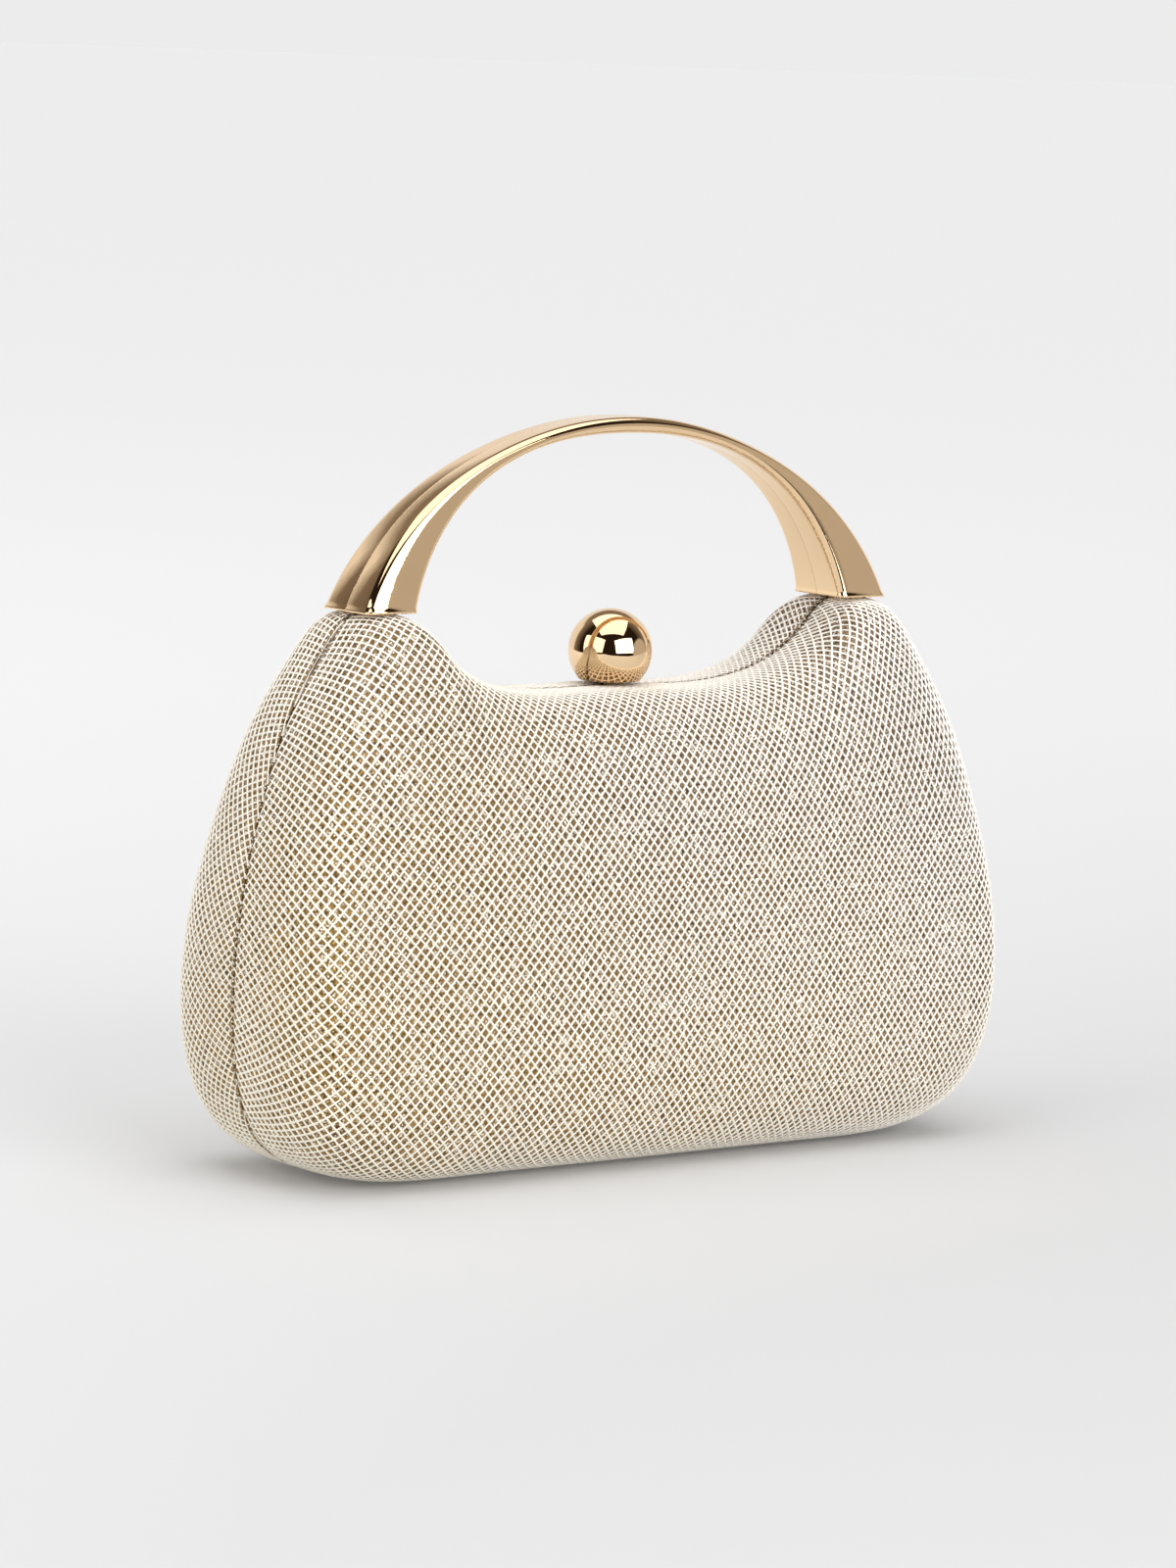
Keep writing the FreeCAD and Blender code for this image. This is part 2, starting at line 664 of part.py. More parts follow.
def headed_rivets(front):
    """Two rivets from a clasp plate up through lining and shell, headed at both ends."""
    low = PLATE_LOW - LAYER_GAP
    high = KEEPER_RIVET_TOP if front else BRACKET_RIVET_TOP
    shanks = clasp_rivets(front, RIVET_R, low, high).Solids
    feet = clasp_rivets(front, RIVET_HEAD_R, low - RIVET_HEAD_T, low).Solids
    heads = clasp_rivets(front, RIVET_HEAD_R, high, high + RIVET_HEAD_T).Solids
    return Part.makeCompound([join(list(parts)) for parts in zip(shanks, feet, heads)])


def latch_pin():
    """Pin through both ears and the lever."""
    return rod(LATCH_PIN_R, (-EAR_OUT - 0.6, PIVOT_Y, PIVOT_Z), (EAR_OUT + 0.6, PIVOT_Y, PIVOT_Z))


def latch_spring():
    """Torsion spring round the pin beside the lever: one leg on the lever, one on the plate."""
    start_x = LEVER_WIDTH / 2 + SPRING_WIRE_R + 0.1
    pitch = 2 * SPRING_WIRE_R + 0.06
    spine = Part.makeHelix(pitch, pitch * SPRING_TURNS, SPRING_R)
    ring = Part.Wire([Part.makeCircle(SPRING_WIRE_R, Vector(SPRING_R, 0, 0), Vector(0, 1, 0))])
    coil = Part.Wire(spine).makePipeShell([ring], True, True)
    coil.rotate(Vector(0, 0, 0), Vector(0, 1, 0), 90)
    coil.translate(Vector(start_x, PIVOT_Y, PIVOT_Z))
    end_x = start_x + pitch * SPRING_TURNS
    rest_z = LEVER_TOP + SPRING_WIRE_R + 0.1
    bend = (start_x, PIVOT_Y - 4.6, rest_z)
    front_leg = rod(SPRING_WIRE_R, (start_x, PIVOT_Y - SPRING_R, PIVOT_Z), bend)
    cross_leg = rod(SPRING_WIRE_R, (start_x + SPRING_WIRE_R, bend[1], rest_z), (0.5, bend[1], rest_z))
    rear_foot = (end_x, PIVOT_Y + SPRING_R, PIVOT_Z)
    rear_leg = rod(SPRING_WIRE_R, rear_foot, (end_x, PIVOT_Y + SPRING_R, PLATE_LOW - 0.1))
    return Part.makeCompound([coil, front_leg, cross_leg, rear_leg])


save("ball_knob", ball_knob())
save("ball_stem", ball_stem())
save("latch_lever", latch_lever())
save("latch_bracket", latch_bracket())
save("latch_pin", latch_pin())
save("latch_spring", latch_spring())
save("bracket_rivets", mirror_y(headed_rivets(False)))
save("keeper", keeper())
save("keeper_rivets", headed_rivets(True))
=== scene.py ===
"""Evening bag: a padded hard case under a knitted net, with a split gold handle and a ball clasp.

The halves meet in the plane y = 0 and open about a hinge along the bottom. Each section below
makes one piece, or a pair of like pieces, in the order in which the bag is put together.
"""
import math

import bmesh
import bpy
import numpy as np
from mathutils import Matrix, Vector
from mathutils.bvhtree import BVHTree


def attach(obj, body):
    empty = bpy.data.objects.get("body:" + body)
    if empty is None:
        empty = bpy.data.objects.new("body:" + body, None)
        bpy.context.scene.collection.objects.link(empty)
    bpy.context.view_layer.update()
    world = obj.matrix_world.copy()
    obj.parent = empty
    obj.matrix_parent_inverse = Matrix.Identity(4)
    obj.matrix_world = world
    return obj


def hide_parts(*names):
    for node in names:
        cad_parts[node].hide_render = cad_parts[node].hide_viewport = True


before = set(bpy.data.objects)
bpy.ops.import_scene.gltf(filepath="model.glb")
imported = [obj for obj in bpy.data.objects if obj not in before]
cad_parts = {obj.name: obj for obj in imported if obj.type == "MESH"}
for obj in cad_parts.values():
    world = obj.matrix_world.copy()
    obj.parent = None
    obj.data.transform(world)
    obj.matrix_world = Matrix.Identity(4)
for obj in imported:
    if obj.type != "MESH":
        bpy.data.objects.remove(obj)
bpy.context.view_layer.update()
MM = 0.001

# ---------------------------------------------------------------------------------------------
# Form of the body.
# A moulded shell in two halves gives the bag its shape: broad and flat in front, rounded at the
# sides and the base, with two shoulders under the handle and a dip between them.
# ---------------------------------------------------------------------------------------------
OUTLINE = np.array([
    (0.0, -0.25), (50.0, -0.25), (91.5, 8.5), (100.0, 42.0), (94.4, 82.0), (85.6, 106.0),
    (77.2, 119.0), (73.0, 123.7), (66.8, 125.0), (60.6, 123.7), (55.4, 118.6), (43.0, 110.3),
    (0.0, 106.6),
])
DEPTH_BASE = 35.5
DEPTH_TOP = 22.0
DEPTH_TOP_Z = 130.0
SIDE_ROUNDING = 12.0
HALF_WIDTH = 100.0
SIDE_POWER = 2.6
FACE_POWER = 3.8
FACE_CENTRE_Z = 57.0
HINGE_Z = 1.7
PARTING_HALF_GAP = 0.08
RAYS = 960
STEPS = 320
CURVE_SAMPLES = 4000
DEPTH_SAMPLES = 1600
DEPTH_SPACING = 0.62
CENTRE_LINE_TRUST = (12.0, -0.3)


def clamped_spline(points, start, end, count):
    """Even samples of a cubic spline: its bend is continuous at every point, its parameter is
    the chord length, and its first and last slopes are given."""
    chord = np.r_[0, np.cumsum(np.hypot(*np.diff(points, axis=0).T))]
    gap = np.diff(chord)
    size = len(points)
    system = np.zeros((size, size))
    right = np.zeros((size, 2))
    inner = np.arange(1, size - 1)
    system[0, 0] = system[-1, -1] = 1
    right[0], right[-1] = start, end
    system[inner, inner - 1] = gap[1:]
    system[inner, inner] = 2 * (gap[1:] + gap[:-1])
    system[inner, inner + 1] = gap[:-1]
    rise = np.diff(points, axis=0) / gap[:, None]
    right[inner] = 3 * (gap[1:, None] * rise[:-1] + gap[:-1, None] * rise[1:])
    slope = np.linalg.solve(system, right)
    place = np.linspace(0, chord[-1], count)
    piece = np.clip(np.searchsorted(chord, place, side="right") - 1, 0, size - 2)
    s = ((place - chord[piece]) / gap[piece])[:, None]
    h = gap[piece][:, None]
    return (
        (2 * s**3 - 3 * s**2 + 1) * points[piece]
        + (s**3 - 2 * s**2 + s) * h * slope[piece]
        + (3 * s**2 - 2 * s**3) * points[piece + 1]
        + (s**3 - s**2) * h * slope[piece + 1]
    )


def even(points, count, closed):
    """The same curve at even steps of its length."""
    line = np.vstack([points, points[:1]]) if closed else points
    length = np.r_[0, np.cumsum(np.sqrt((np.diff(line, axis=0) ** 2).sum(1)))]
    wanted = np.linspace(0, length[-1], count, endpoint=not closed)
    return np.stack([np.interp(wanted, length, axis) for axis in line.T], -1)


side = clamped_spline(OUTLINE, (1, 0), (-1, 0), CURVE_SAMPLES)
ring = even(np.vstack([side, side[-2:0:-1] * (-1, 1)]), RAYS, True)
along = np.roll(ring, -1, 0) - np.roll(ring, 1, 0)
ring_normal = np.stack([along[:, 1], -along[:, 0]], -1)
ring_normal /= np.linalg.norm(ring_normal, axis=1)[:, None]


def half_form(inset, roll):
    """Front half of the form, inset all over, as rays from the face's centre line to the parting
    edge, evenly stepped along each ray.

    A share of the depth from 0 to 1 draws the sides in and closes top and bottom, both as
    superellipses. At the edge the form turns in to the parting plane as a quarter circle.
    """
    edge = ring - ring_normal * inset
    turn = np.linspace(math.pi / 2, 0, DEPTH_SAMPLES)
    share = np.sin(turn) ** DEPTH_SPACING
    side_in = 1 - (1 - share**SIDE_POWER) ** (1 / SIDE_POWER)
    face = (1 - share**FACE_POWER) ** (1 / FACE_POWER)
    x = edge[:, :1] * (1 - (SIDE_ROUNDING - inset) / HALF_WIDTH * side_in)
    z = FACE_CENTRE_Z + (edge[:, 1:] - FACE_CENTRE_Z) * face
    depth = DEPTH_BASE + (DEPTH_TOP - DEPTH_BASE) * z / DEPTH_TOP_Z - inset
    y = depth * share
    near = np.clip(roll + PARTING_HALF_GAP - y, 0, roll)
    turned = roll - np.sqrt(roll**2 - near**2)
    x = x - ring_normal[:, :1] * turned
    z = z - ring_normal[:, 1:] * turned
    y = np.maximum(y, PARTING_HALF_GAP)
    fine = np.stack([x, -y, z], -1)
    step = np.sqrt((np.diff(fine, axis=1) ** 2).sum(-1))
    length = np.concatenate([np.zeros((RAYS, 1)), np.cumsum(step, 1)], 1)
    share_of = length / length[:, -1:]
    wanted = np.linspace(0, 1, STEPS + 1)
    return np.stack([
        np.stack([np.interp(wanted, share_of[i], fine[i, :, axis]) for axis in range(3)], -1)
        for i in range(RAYS)
    ])


def form_normals(table):
    """Outward normals of the form: the cross product of its two directions, and the plain
    direction of the flat face where the rays start too close together."""
    round_ = np.roll(table, -1, 0) - np.roll(table, 1, 0)
    out = np.gradient(table, axis=1)
    normal = np.cross(round_, out)
    size = np.linalg.norm(normal, axis=-1, keepdims=True)
    flat = np.array([0, -1, (DEPTH_BASE - DEPTH_TOP) / DEPTH_TOP_Z])
    flat /= np.linalg.norm(flat)
    normal = normal / np.maximum(size, 1e-9)
    normal *= np.sign((normal * flat).sum(-1, keepdims=True)[:, :1].mean())
    rise, start = CENTRE_LINE_TRUST
    trust = np.clip(np.linspace(0, 1, STEPS + 1) * rise + start, 0, 1)[None, :, None]
    normal = normal * trust + flat * (1 - trust)
    return normal / np.linalg.norm(normal, axis=-1, keepdims=True)


WEDGE_TOP = HINGE_Z + 0.5
WEDGE_SLOPE = 1.1
WEDGE_REACH = 3.0
GROOVE_HALF_LENGTH = 45.0
GROOVE_FADE = 2.0
GROOVE_DEPTH = 2.1
GROOVE_TOP = 4.5


def base_room(points):
    """Under the hinge axis the halves leave a wedge, and along the barrel a groove, so that
    their lower edges pass each other: y is held back to the wedge or the groove. No point lies
    under the base, z = 0."""
    x, y, z = points[..., 0], points[..., 1], points[..., 2]
    wedge = np.clip(WEDGE_TOP - z, 0, WEDGE_REACH) * WEDGE_SLOPE
    reach = np.clip((GROOVE_HALF_LENGTH - np.abs(x)) / GROOVE_FADE, 0, 1)
    groove = GROOVE_DEPTH * reach * np.clip(GROOVE_TOP - z, 0, 1)
    kept = np.maximum(np.maximum(wedge, groove), PARTING_HALF_GAP)
    return np.stack([x, -np.maximum(-y, kept), np.maximum(z, 0.0)], -1)


STEM_SLOT_R = 1.9
STEM_SLOT_RUN = {"front": 0.0, "back": 3.0}
STEM_SLOT_LOW = 85.0


def stem_room(points, half):
    """In the dip each half leaves a round-ended slot for the clasp's stem, longer behind, where
    the stem tilts: y is held back to the slot's end."""
    x, y, z = points[..., 0], points[..., 1], points[..., 2]
    reach = np.sqrt(np.clip(STEM_SLOT_R**2 - x**2, 0, None))
    in_slot = (np.abs(x) < STEM_SLOT_R) & (z > STEM_SLOT_LOW)
    slot = np.where(in_slot, STEM_SLOT_RUN[half] + reach, 0)
    return np.stack([x, -np.maximum(-y, slot), z], -1)


def piece_from(name, points, faces):
    """An object at the origin with this mesh, in metres, its doubles merged."""
    mesh = bpy.data.meshes.new(name)
    mesh.from_pydata((points * MM).reshape(-1, 3).tolist(), [], faces.tolist())
    work = bmesh.new()
    work.from_mesh(mesh)
    bmesh.ops.remove_doubles(work, verts=work.verts, dist=1e-6)
    bmesh.ops.dissolve_degenerate(work, edges=work.edges, dist=1e-7)
    bmesh.ops.recalc_face_normals(work, faces=work.faces)
    work.to_mesh(mesh)
    work.free()
    mesh.polygons.foreach_set("use_smooth", [True] * len(mesh.polygons))
    thing = bpy.data.objects.new(name, mesh)
    bpy.context.scene.collection.objects.link(thing)
    return thing


def grid_faces(rows, columns, closed_rows, closed_columns):
    """Quads between neighbouring points of a grid that may close on itself either way."""
    i = np.arange(rows if closed_rows else rows - 1)[:, None]
    j = np.arange(columns if closed_columns else columns - 1)[None, :]
    i2, j2 = (i + 1) % rows, (j + 1) % columns
    quads = [i * columns + j, i * columns + j2, i2 * columns + j2, i2 * columns + j]
    return np.stack([np.broadcast_to(q, (len(i), j.shape[1])) for q in quads], -1).reshape(-1, 4)


# ---------------------------------------------------------------------------------------------
# Shared effects of the finishes: fine grain, glitter with painted glints, and a warm-to-cool drift
# of colour.
# ---------------------------------------------------------------------------------------------


def group(name, inputs, outputs):
    """Empty node group with named inputs and outputs."""
    tree = bpy.data.node_groups.new(name, "ShaderNodeTree")
    for label, kind, value in inputs:
        tree.interface.new_socket(label, in_out="INPUT", socket_type=kind).default_value = value
    for label, kind in outputs:
        tree.interface.new_socket(label, in_out="OUTPUT", socket_type=kind)
    return tree, tree.nodes.new("NodeGroupInput"), tree.nodes.new("NodeGroupOutput")


def node(tree, kind, links=(), **values):
    """One node: plain values go to its properties or sockets, links come from other sockets."""
    made = tree.nodes.new(kind)
    for key, value in values.items():
        if hasattr(made, key):
            setattr(made, key, value)
        else:
            made.inputs[key.replace("_", " ")].default_value = value
    for target, source in links:
        tree.links.new(source, made.inputs[target])
    return made


def glitter_group():
    """Glitter: small cells of random tint, each tilting the surface its own way, and a mask of
    cells for painted glints.
    """
    tree, given, put = group(
        "glitter",
        [("Cells", "NodeSocketFloat", 3000.0), ("Tilt", "NodeSocketFloat", 0.7)],
        [("Tint", "NodeSocketFloat"), ("Painted Glint", "NodeSocketFloat"), ("Normal", "NodeSocketVector")],
    )
    place = node(tree, "ShaderNodeTexCoord")
    cells = node(
        tree, "ShaderNodeTexVoronoi",
        [("Vector", place.outputs["Object"]), ("Scale", given.outputs["Cells"])],
    )
    parts = node(tree, "ShaderNodeSeparateColor", [("Color", cells.outputs["Color"])])
    # Painted glint mask: the cells that are painted pale cream as glints.
    painted_glint = node(
        tree, "ShaderNodeMapRange", [("Value", parts.outputs["Green"])],
        From_Min=0.78, From_Max=0.95,
    )
    centred = node(
        tree, "ShaderNodeVectorMath", [(0, cells.outputs["Color"])], operation="SUBTRACT",
    )
    centred.inputs[1].default_value = (0.5, 0.5, 0.5)
    tilt = node(
        tree, "ShaderNodeVectorMath",
        [(0, centred.outputs[0]), ("Scale", given.outputs["Tilt"])], operation="SCALE",
    )
    surface = node(tree, "ShaderNodeNewGeometry")
    mixed = node(
        tree, "ShaderNodeVectorMath",
        [(0, tilt.outputs[0]), (1, surface.outputs["Normal"])], operation="ADD",
    )
    unit = node(tree, "ShaderNodeVectorMath", [(0, mixed.outputs[0])], operation="NORMALIZE")
    tree.links.new(parts.outputs["Red"], put.inputs["Tint"])
    tree.links.new(painted_glint.outputs["Result"], put.inputs["Painted Glint"])
    tree.links.new(unit.outputs[0], put.inputs["Normal"])
    return tree


def drift_group():
    """Colour drift over the bag: nearly 1 at its lower left, falling towards its top and right."""
    tree, given, put = group(
        "drift", [("Patch", "NodeSocketFloat", 14.0)], [("Amount", "NodeSocketFloat")]
    )
    place = node(tree, "ShaderNodeTexCoord")
    axes = node(tree, "ShaderNodeSeparateXYZ", [("Vector", place.outputs["Object"])])
    across = node(
        tree, "ShaderNodeMapRange", [("Value", axes.outputs["X"])],
        From_Min=-0.09, From_Max=0.085, To_Min=1.0, To_Max=0.3,
    )
    up = node(
        tree, "ShaderNodeMapRange", [("Value", axes.outputs["Z"])],
        From_Min=0.03, From_Max=0.115, To_Min=1.0, To_Max=0.6,
    )
    both = node(
        tree, "ShaderNodeMath", [(0, across.outputs[0]), (1, up.outputs[0])], operation="MULTIPLY",
    )
    patch = node(
        tree, "ShaderNodeTexNoise",
        [("Vector", place.outputs["Object"]), ("Scale", given.outputs["Patch"])], Detail=3.0,
    )
    soft = node(
        tree, "ShaderNodeMapRange", [("Value", patch.outputs["Fac"])],
        From_Min=0.3, From_Max=0.7, To_Min=-0.15, To_Max=0.15,
    )
    total = node(
        tree, "ShaderNodeMath", [(0, both.outputs[0]), (1, soft.outputs[0])],
        operation="ADD", use_clamp=True,
    )
    tree.links.new(total.outputs[0], put.inputs["Amount"])
    return tree


def grain_group():
    """Fine grain: noise of a given size as a value about 0.5, for tint, roughness or bump."""
    tree, given, put = group(
        "grain", [("Size", "NodeSocketFloat", 900.0)], [("Value", "NodeSocketFloat")]
    )
    place = node(tree, "ShaderNodeTexCoord")
    noise = node(
        tree, "ShaderNodeTexNoise",
        [("Vector", place.outputs["Object"]), ("Scale", given.outputs["Size"])],
        Detail=4.0, Roughness=0.6,
    )
    tree.links.new(noise.outputs["Fac"], put.inputs["Value"])
    return tree


GLITTER, DRIFT, GRAIN = glitter_group(), drift_group(), grain_group()


def material(name, **constants):
    """Material with a Principled shader whose unchanging values sit on its own sockets."""
    made = bpy.data.materials.new(name)
    made.use_nodes = True
    shader = made.node_tree.nodes["Principled BSDF"]
    for key, value in constants.items():
        shader.inputs[key.replace("_", " ")].default_value = value
    return made, made.node_tree, shader


def use(tree, shared, **values):
    """Place a shared effect in a material with its own values."""
    made = tree.nodes.new("ShaderNodeGroup")
    made.node_tree = shared
    for key, value in values.items():
        made.inputs[key].default_value = value
    return made


def blend_colours(tree, amount, low, high):
    """Colour between two, by a socket's value. Each of the two is a colour or a socket."""
    mix = tree.nodes.new("ShaderNodeMix")
    mix.data_type = "RGBA"
    tree.links.new(amount, mix.inputs[0])
    for place, colour in ((6, low), (7, high)):
        if isinstance(colour, tuple):
            mix.inputs[place].default_value = (*colour, 1)
        else:
            tree.links.new(colour, mix.inputs[place])
    return mix.outputs[2]


def dress(thing, finish):
    """Give a piece its one finish."""
    thing.data.materials.clear()
    thing.data.materials.append(finish)


# ---------------------------------------------------------------------------------------------
# Padded covers.
# Gold glitter fabric is stretched over wadding and turned in at the parting edge, so each half
# is one taut crowned skin. It stands for the fabric and the wadding under it.
# ---------------------------------------------------------------------------------------------
COVER_ROLL = 0.4
GROUND_DEPTH = 0.28
COVER_THICKNESS = 2.9
COVER_RAY_STEP = 2
COVER_ROWS = np.unique(np.r_[0:260:8, 260:312:4, 312:321:1])

cover_table = half_form(0.0, COVER_ROLL)
cover_normal = form_normals(cover_table)


def shell_mesh(table, normal, outer, inner, rays, rows):
    """Closed skin between two depths under the form: one sheet out along the rays, and one back.

    Rays from below start where the nearest ray from above starts, so the centre line is shared.
    """
    outside = (table - normal * outer)[::rays][:, rows]
    inside = (table - normal * inner)[::rays][:, rows]
    start_x = outside[:, 0, 0].copy()
    above = ring[::rays, 1] > FACE_CENTRE_Z
    marks = np.sort(start_x[above])
    pick = np.clip(np.searchsorted(marks, start_x), 1, len(marks) - 1)
    closer = np.where(
        np.abs(marks[pick] - start_x) < np.abs(marks[pick - 1] - start_x),
        marks[pick], marks[pick - 1],
    )
    outside[:, 0, 0] = closer
    inside[:, 0] = outside[:, 0] - normal[::rays][:, 0] * (inner - outer)
    inside[..., 1] = np.minimum(inside[..., 1], -PARTING_HALF_GAP)
    outside[..., 1] = np.minimum(outside[..., 1], -PARTING_HALF_GAP)
    sheet = np.concatenate([outside, inside[:, ::-1]], 1)
    faces = grid_faces(sheet.shape[0], sheet.shape[1], True, False)
    return base_room(sheet), faces


def both_halves(name, points, faces):
    """The same piece on each half: as it is in front, and mirrored behind."""
    for half, sign in (("front", 1), ("back", -1)):
        slotted = stem_room(points, half)
        piece = piece_from(f"{half}_{name}", slotted * (1, sign, 1), faces)
        yield piece, half, f"{half}_half"


def ground_finish():
    """Gold glitter cloth: bronze to pale gold cells that tilt and catch the light, some painted
    pale cream as painted glints.
    """
    made, tree, shader = material("glitter ground", Roughness=0.42, Metallic=0.55)
    glitter = use(tree, GLITTER, Cells=2600.0, Tilt=0.9)
    drift = use(tree, DRIFT, Patch=16.0)
    cool = blend_colours(tree, glitter.outputs["Tint"], (0.036, 0.024, 0.016), (0.29, 0.21, 0.14))
    warm = blend_colours(tree, glitter.outputs["Tint"], (0.07, 0.036, 0.006), (0.47, 0.285, 0.075))
    cells = blend_colours(tree, drift.outputs["Amount"], cool, warm)
    # Painted glints: the masked cells are painted pale cream under any light; the tilted cells also
    # catch real light.
    cells_and_painted_glints = blend_colours(tree, glitter.outputs["Painted Glint"], cells, (1.0, 0.93, 0.8))
    tree.links.new(cells_and_painted_glints, shader.inputs["Base Color"])
    tree.links.new(glitter.outputs["Normal"], shader.inputs["Normal"])
    return made


ground = ground_finish()
points, faces = shell_mesh(
    cover_table, cover_normal, GROUND_DEPTH, COVER_THICKNESS, COVER_RAY_STEP, COVER_ROWS
)
for piece, half, body in both_halves("padded_cover", points, faces):
    dress(piece, ground)
    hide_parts(f"{half}_cover", f"{half}_padding")
    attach(piece, body)

# ---------------------------------------------------------------------------------------------
# Net.
# A cream net of fine cords lies over the glitter cloth and is stretched with it. Its two sets
# of cords cross at right angles on the flat front and close up where the cloth turns the edges.
# ---------------------------------------------------------------------------------------------
CORD_PITCH = 1.88
CORD_HALF_WIDTH = 0.31
CORD_HEIGHT = 0.26
CORD_STEP = 1.5
CORD_ROOT = 1.1 * GROUND_DEPTH
CORD_ANGLE = math.radians(46)
UPPER_CORDS_RAISED = 0.03
CLOTH_MIDDLE = np.array([0.0, 60.0])
CLOTH_REACH = 240.0
CLOTH_HALF_SIZE = (185.0, 130.0)
SEARCH_RADIUS = 0.4
TURNING_WINDOW = 200
TURNING_SOFTNESS = 62.0
GATHER = 1.17
GATHER_GROWTH = 0.0012
GATHER_FROM_X = -60.0
GATHER_SHIFT = 5.9
SLANT = 0.2
SLANT_ABOUT = (25.0, 85.0)
SLANT_FROM = (5.0, 72.0)
SLANT_OVER = (65.0, 45.0)
SLANT_FADE = (60.0, 100.0)


def ramp(value):
    """Smooth step from 0 to 1."""
    value = np.clip(value, 0, 1)
    return value * value * (3 - 2 * value)


def cloth_map(table):
    """Where each point of the form lies on the flat, unstretched cloth.

    On the flat front a point keeps its x and z. Along a ray that turns away, the cloth runs on
    in the outline's outward direction n, smoothed round the bag, by w, where each step's length
    on the cloth, |d + n dw|, is its length on the form. Then the cloth is gathered more and more
    to the right, and slanted at the right shoulder.
    """
    window = np.arange(-TURNING_WINDOW, TURNING_WINDOW + 1)
    spread = np.exp(-0.5 * (window / TURNING_SOFTNESS) ** 2)
    padded = np.concatenate([
        ring_normal[-TURNING_WINDOW:], ring_normal, ring_normal[:TURNING_WINDOW]])
    away = np.stack([np.convolve(padded[:, k], spread, "valid") for k in range(2)], -1)
    away /= np.linalg.norm(away, axis=1)[:, None]
    step = np.diff(table, axis=1)
    flat = step[..., [0, 2]]
    inward = (flat * away[:, None]).sum(-1)
    extra = -inward + np.sqrt(inward**2 + step[..., 1] ** 2)
    extra = np.concatenate([np.zeros((RAYS, 1)), np.cumsum(extra, 1)], 1)
    flat = table[..., [0, 2]] + away[:, None] * extra[..., None]
    x, z = flat[..., 0], flat[..., 1]
    gathered = np.where(
        x > GATHER_FROM_X, GATHER * x + GATHER_GROWTH * x**2, x - GATHER_SHIFT)
    slant = SLANT * ramp((x - SLANT_FROM[0]) / SLANT_OVER[0])
    slant = slant * ramp((z - SLANT_FROM[1]) / SLANT_OVER[1])
    slant = slant * (1 - ramp((x - SLANT_FADE[0]) / SLANT_FADE[1]))
    along_x = gathered + slant * (z - SLANT_ABOUT[1])
    return np.stack([along_x, z - slant * (x - SLANT_ABOUT[0])], -1)


MAP_EVERY = (slice(None, None, 2), slice(None, None, 5))
cloth = cloth_map(cover_table)[MAP_EVERY]
map_point = cover_table[MAP_EVERY].reshape(-1, 3)
map_up = cover_normal[MAP_EVERY].reshape(-1, 3)
map_quads = grid_faces(cloth.shape[0], cloth.shape[1], True, False)
map_faces = np.vstack([map_quads[:, [0, 1, 2]], map_quads[:, [0, 2, 3]]])
cloth = cloth.reshape(-1, 2)
finder = BVHTree.FromPolygons(
    np.c_[cloth, np.zeros(len(cloth))].tolist(), map_faces.tolist(), all_triangles=True
)


def laid_on(spots):
    """Points and normals of the form under these spots of the flat cloth, and which are on it.

    Each spot's triangle of the flattened form gives it by its barycentric shares.
    """
    found = [finder.find_nearest((u, v, 0.0), SEARCH_RADIUS) for u, v in spots.tolist()]
    on = np.array([hit[2] is not None for hit in found])
    index = np.array([hit[2] if hit[2] is not None else 0 for hit in found])
    corners = map_faces[index]
    a, b, c = (cloth[corners[:, k]] for k in range(3))
    ab, ac, ap = b - a, c - a, spots - a
    area = ab[:, 0] * ac[:, 1] - ab[:, 1] * ac[:, 0]
    area = np.where(np.abs(area) < 1e-9, 1e-9, area)
    v = (ap[:, 0] * ac[:, 1] - ap[:, 1] * ac[:, 0]) / area
    w = (ab[:, 0] * ap[:, 1] - ab[:, 1] * ap[:, 0]) / area
    v, w = np.clip(v, 0, 1), np.clip(w, 0, 1)
    shares = np.stack([1 - v - w, v, w], -1)[..., None]
    return (map_point[corners] * shares).sum(1), (map_up[corners] * shares).sum(1), on


def cord_runs(angle, offset):
    """The stretches of one straight cord of the cloth that lie on the form, in even steps."""
    along_cord = np.array([math.cos(angle), math.sin(angle)])
    across = np.array([-math.sin(angle), math.cos(angle)])
    place = np.arange(-CLOTH_REACH, CLOTH_REACH, CORD_STEP)
    spots = CLOTH_MIDDLE + across * offset + along_cord * place[:, None]
    spots = spots[(np.abs(spots - CLOTH_MIDDLE) < CLOTH_HALF_SIZE).all(1)]
    if len(spots) < 3:
        return []
    points, up, on = laid_on(spots)
    runs = []
    for part in np.split(np.arange(len(spots)), np.flatnonzero(np.diff(on.astype(int))) + 1):
        if on[part[0]] and len(part) > 2:
            line = points[part].copy()
            line[1:-1] = (line[:-2] + 2 * line[1:-1] + line[2:]) / 4
            lift = up[part] / np.linalg.norm(up[part], axis=1)[:, None]
            runs.append((line, lift))
    return runs


def net_set(angle, raised):
    """All cords of one direction as three-sided strips: crest up, two edges in the ground."""
    points, faces, used = [], [], 0
    for offset in np.arange(-CLOTH_REACH, CLOTH_REACH, CORD_PITCH):
        for line, lift in cord_runs(angle, offset):
            forward = np.gradient(line, axis=0)
            forward /= np.linalg.norm(forward, axis=1)[:, None] + 1e-12
            sideways = np.cross(lift, forward)
            left = line + sideways * CORD_HALF_WIDTH - lift * CORD_ROOT
            right = line - sideways * CORD_HALF_WIDTH - lift * CORD_ROOT
            crest = line + lift * (CORD_HEIGHT - GROUND_DEPTH + raised)
            strip = base_room(np.stack([left, crest, right], 1))
            count = len(line)
            last = count * 3 - 1
            ends = np.array([[0, 1, 2, 2], [last, last - 1, last - 2, last - 2]])
            points.append(strip.reshape(-1, 3))
            faces.append(grid_faces(count, 3, False, True) + used)
            faces.append(ends + used)
            used += count * 3
    return np.vstack(points), np.vstack(faces)


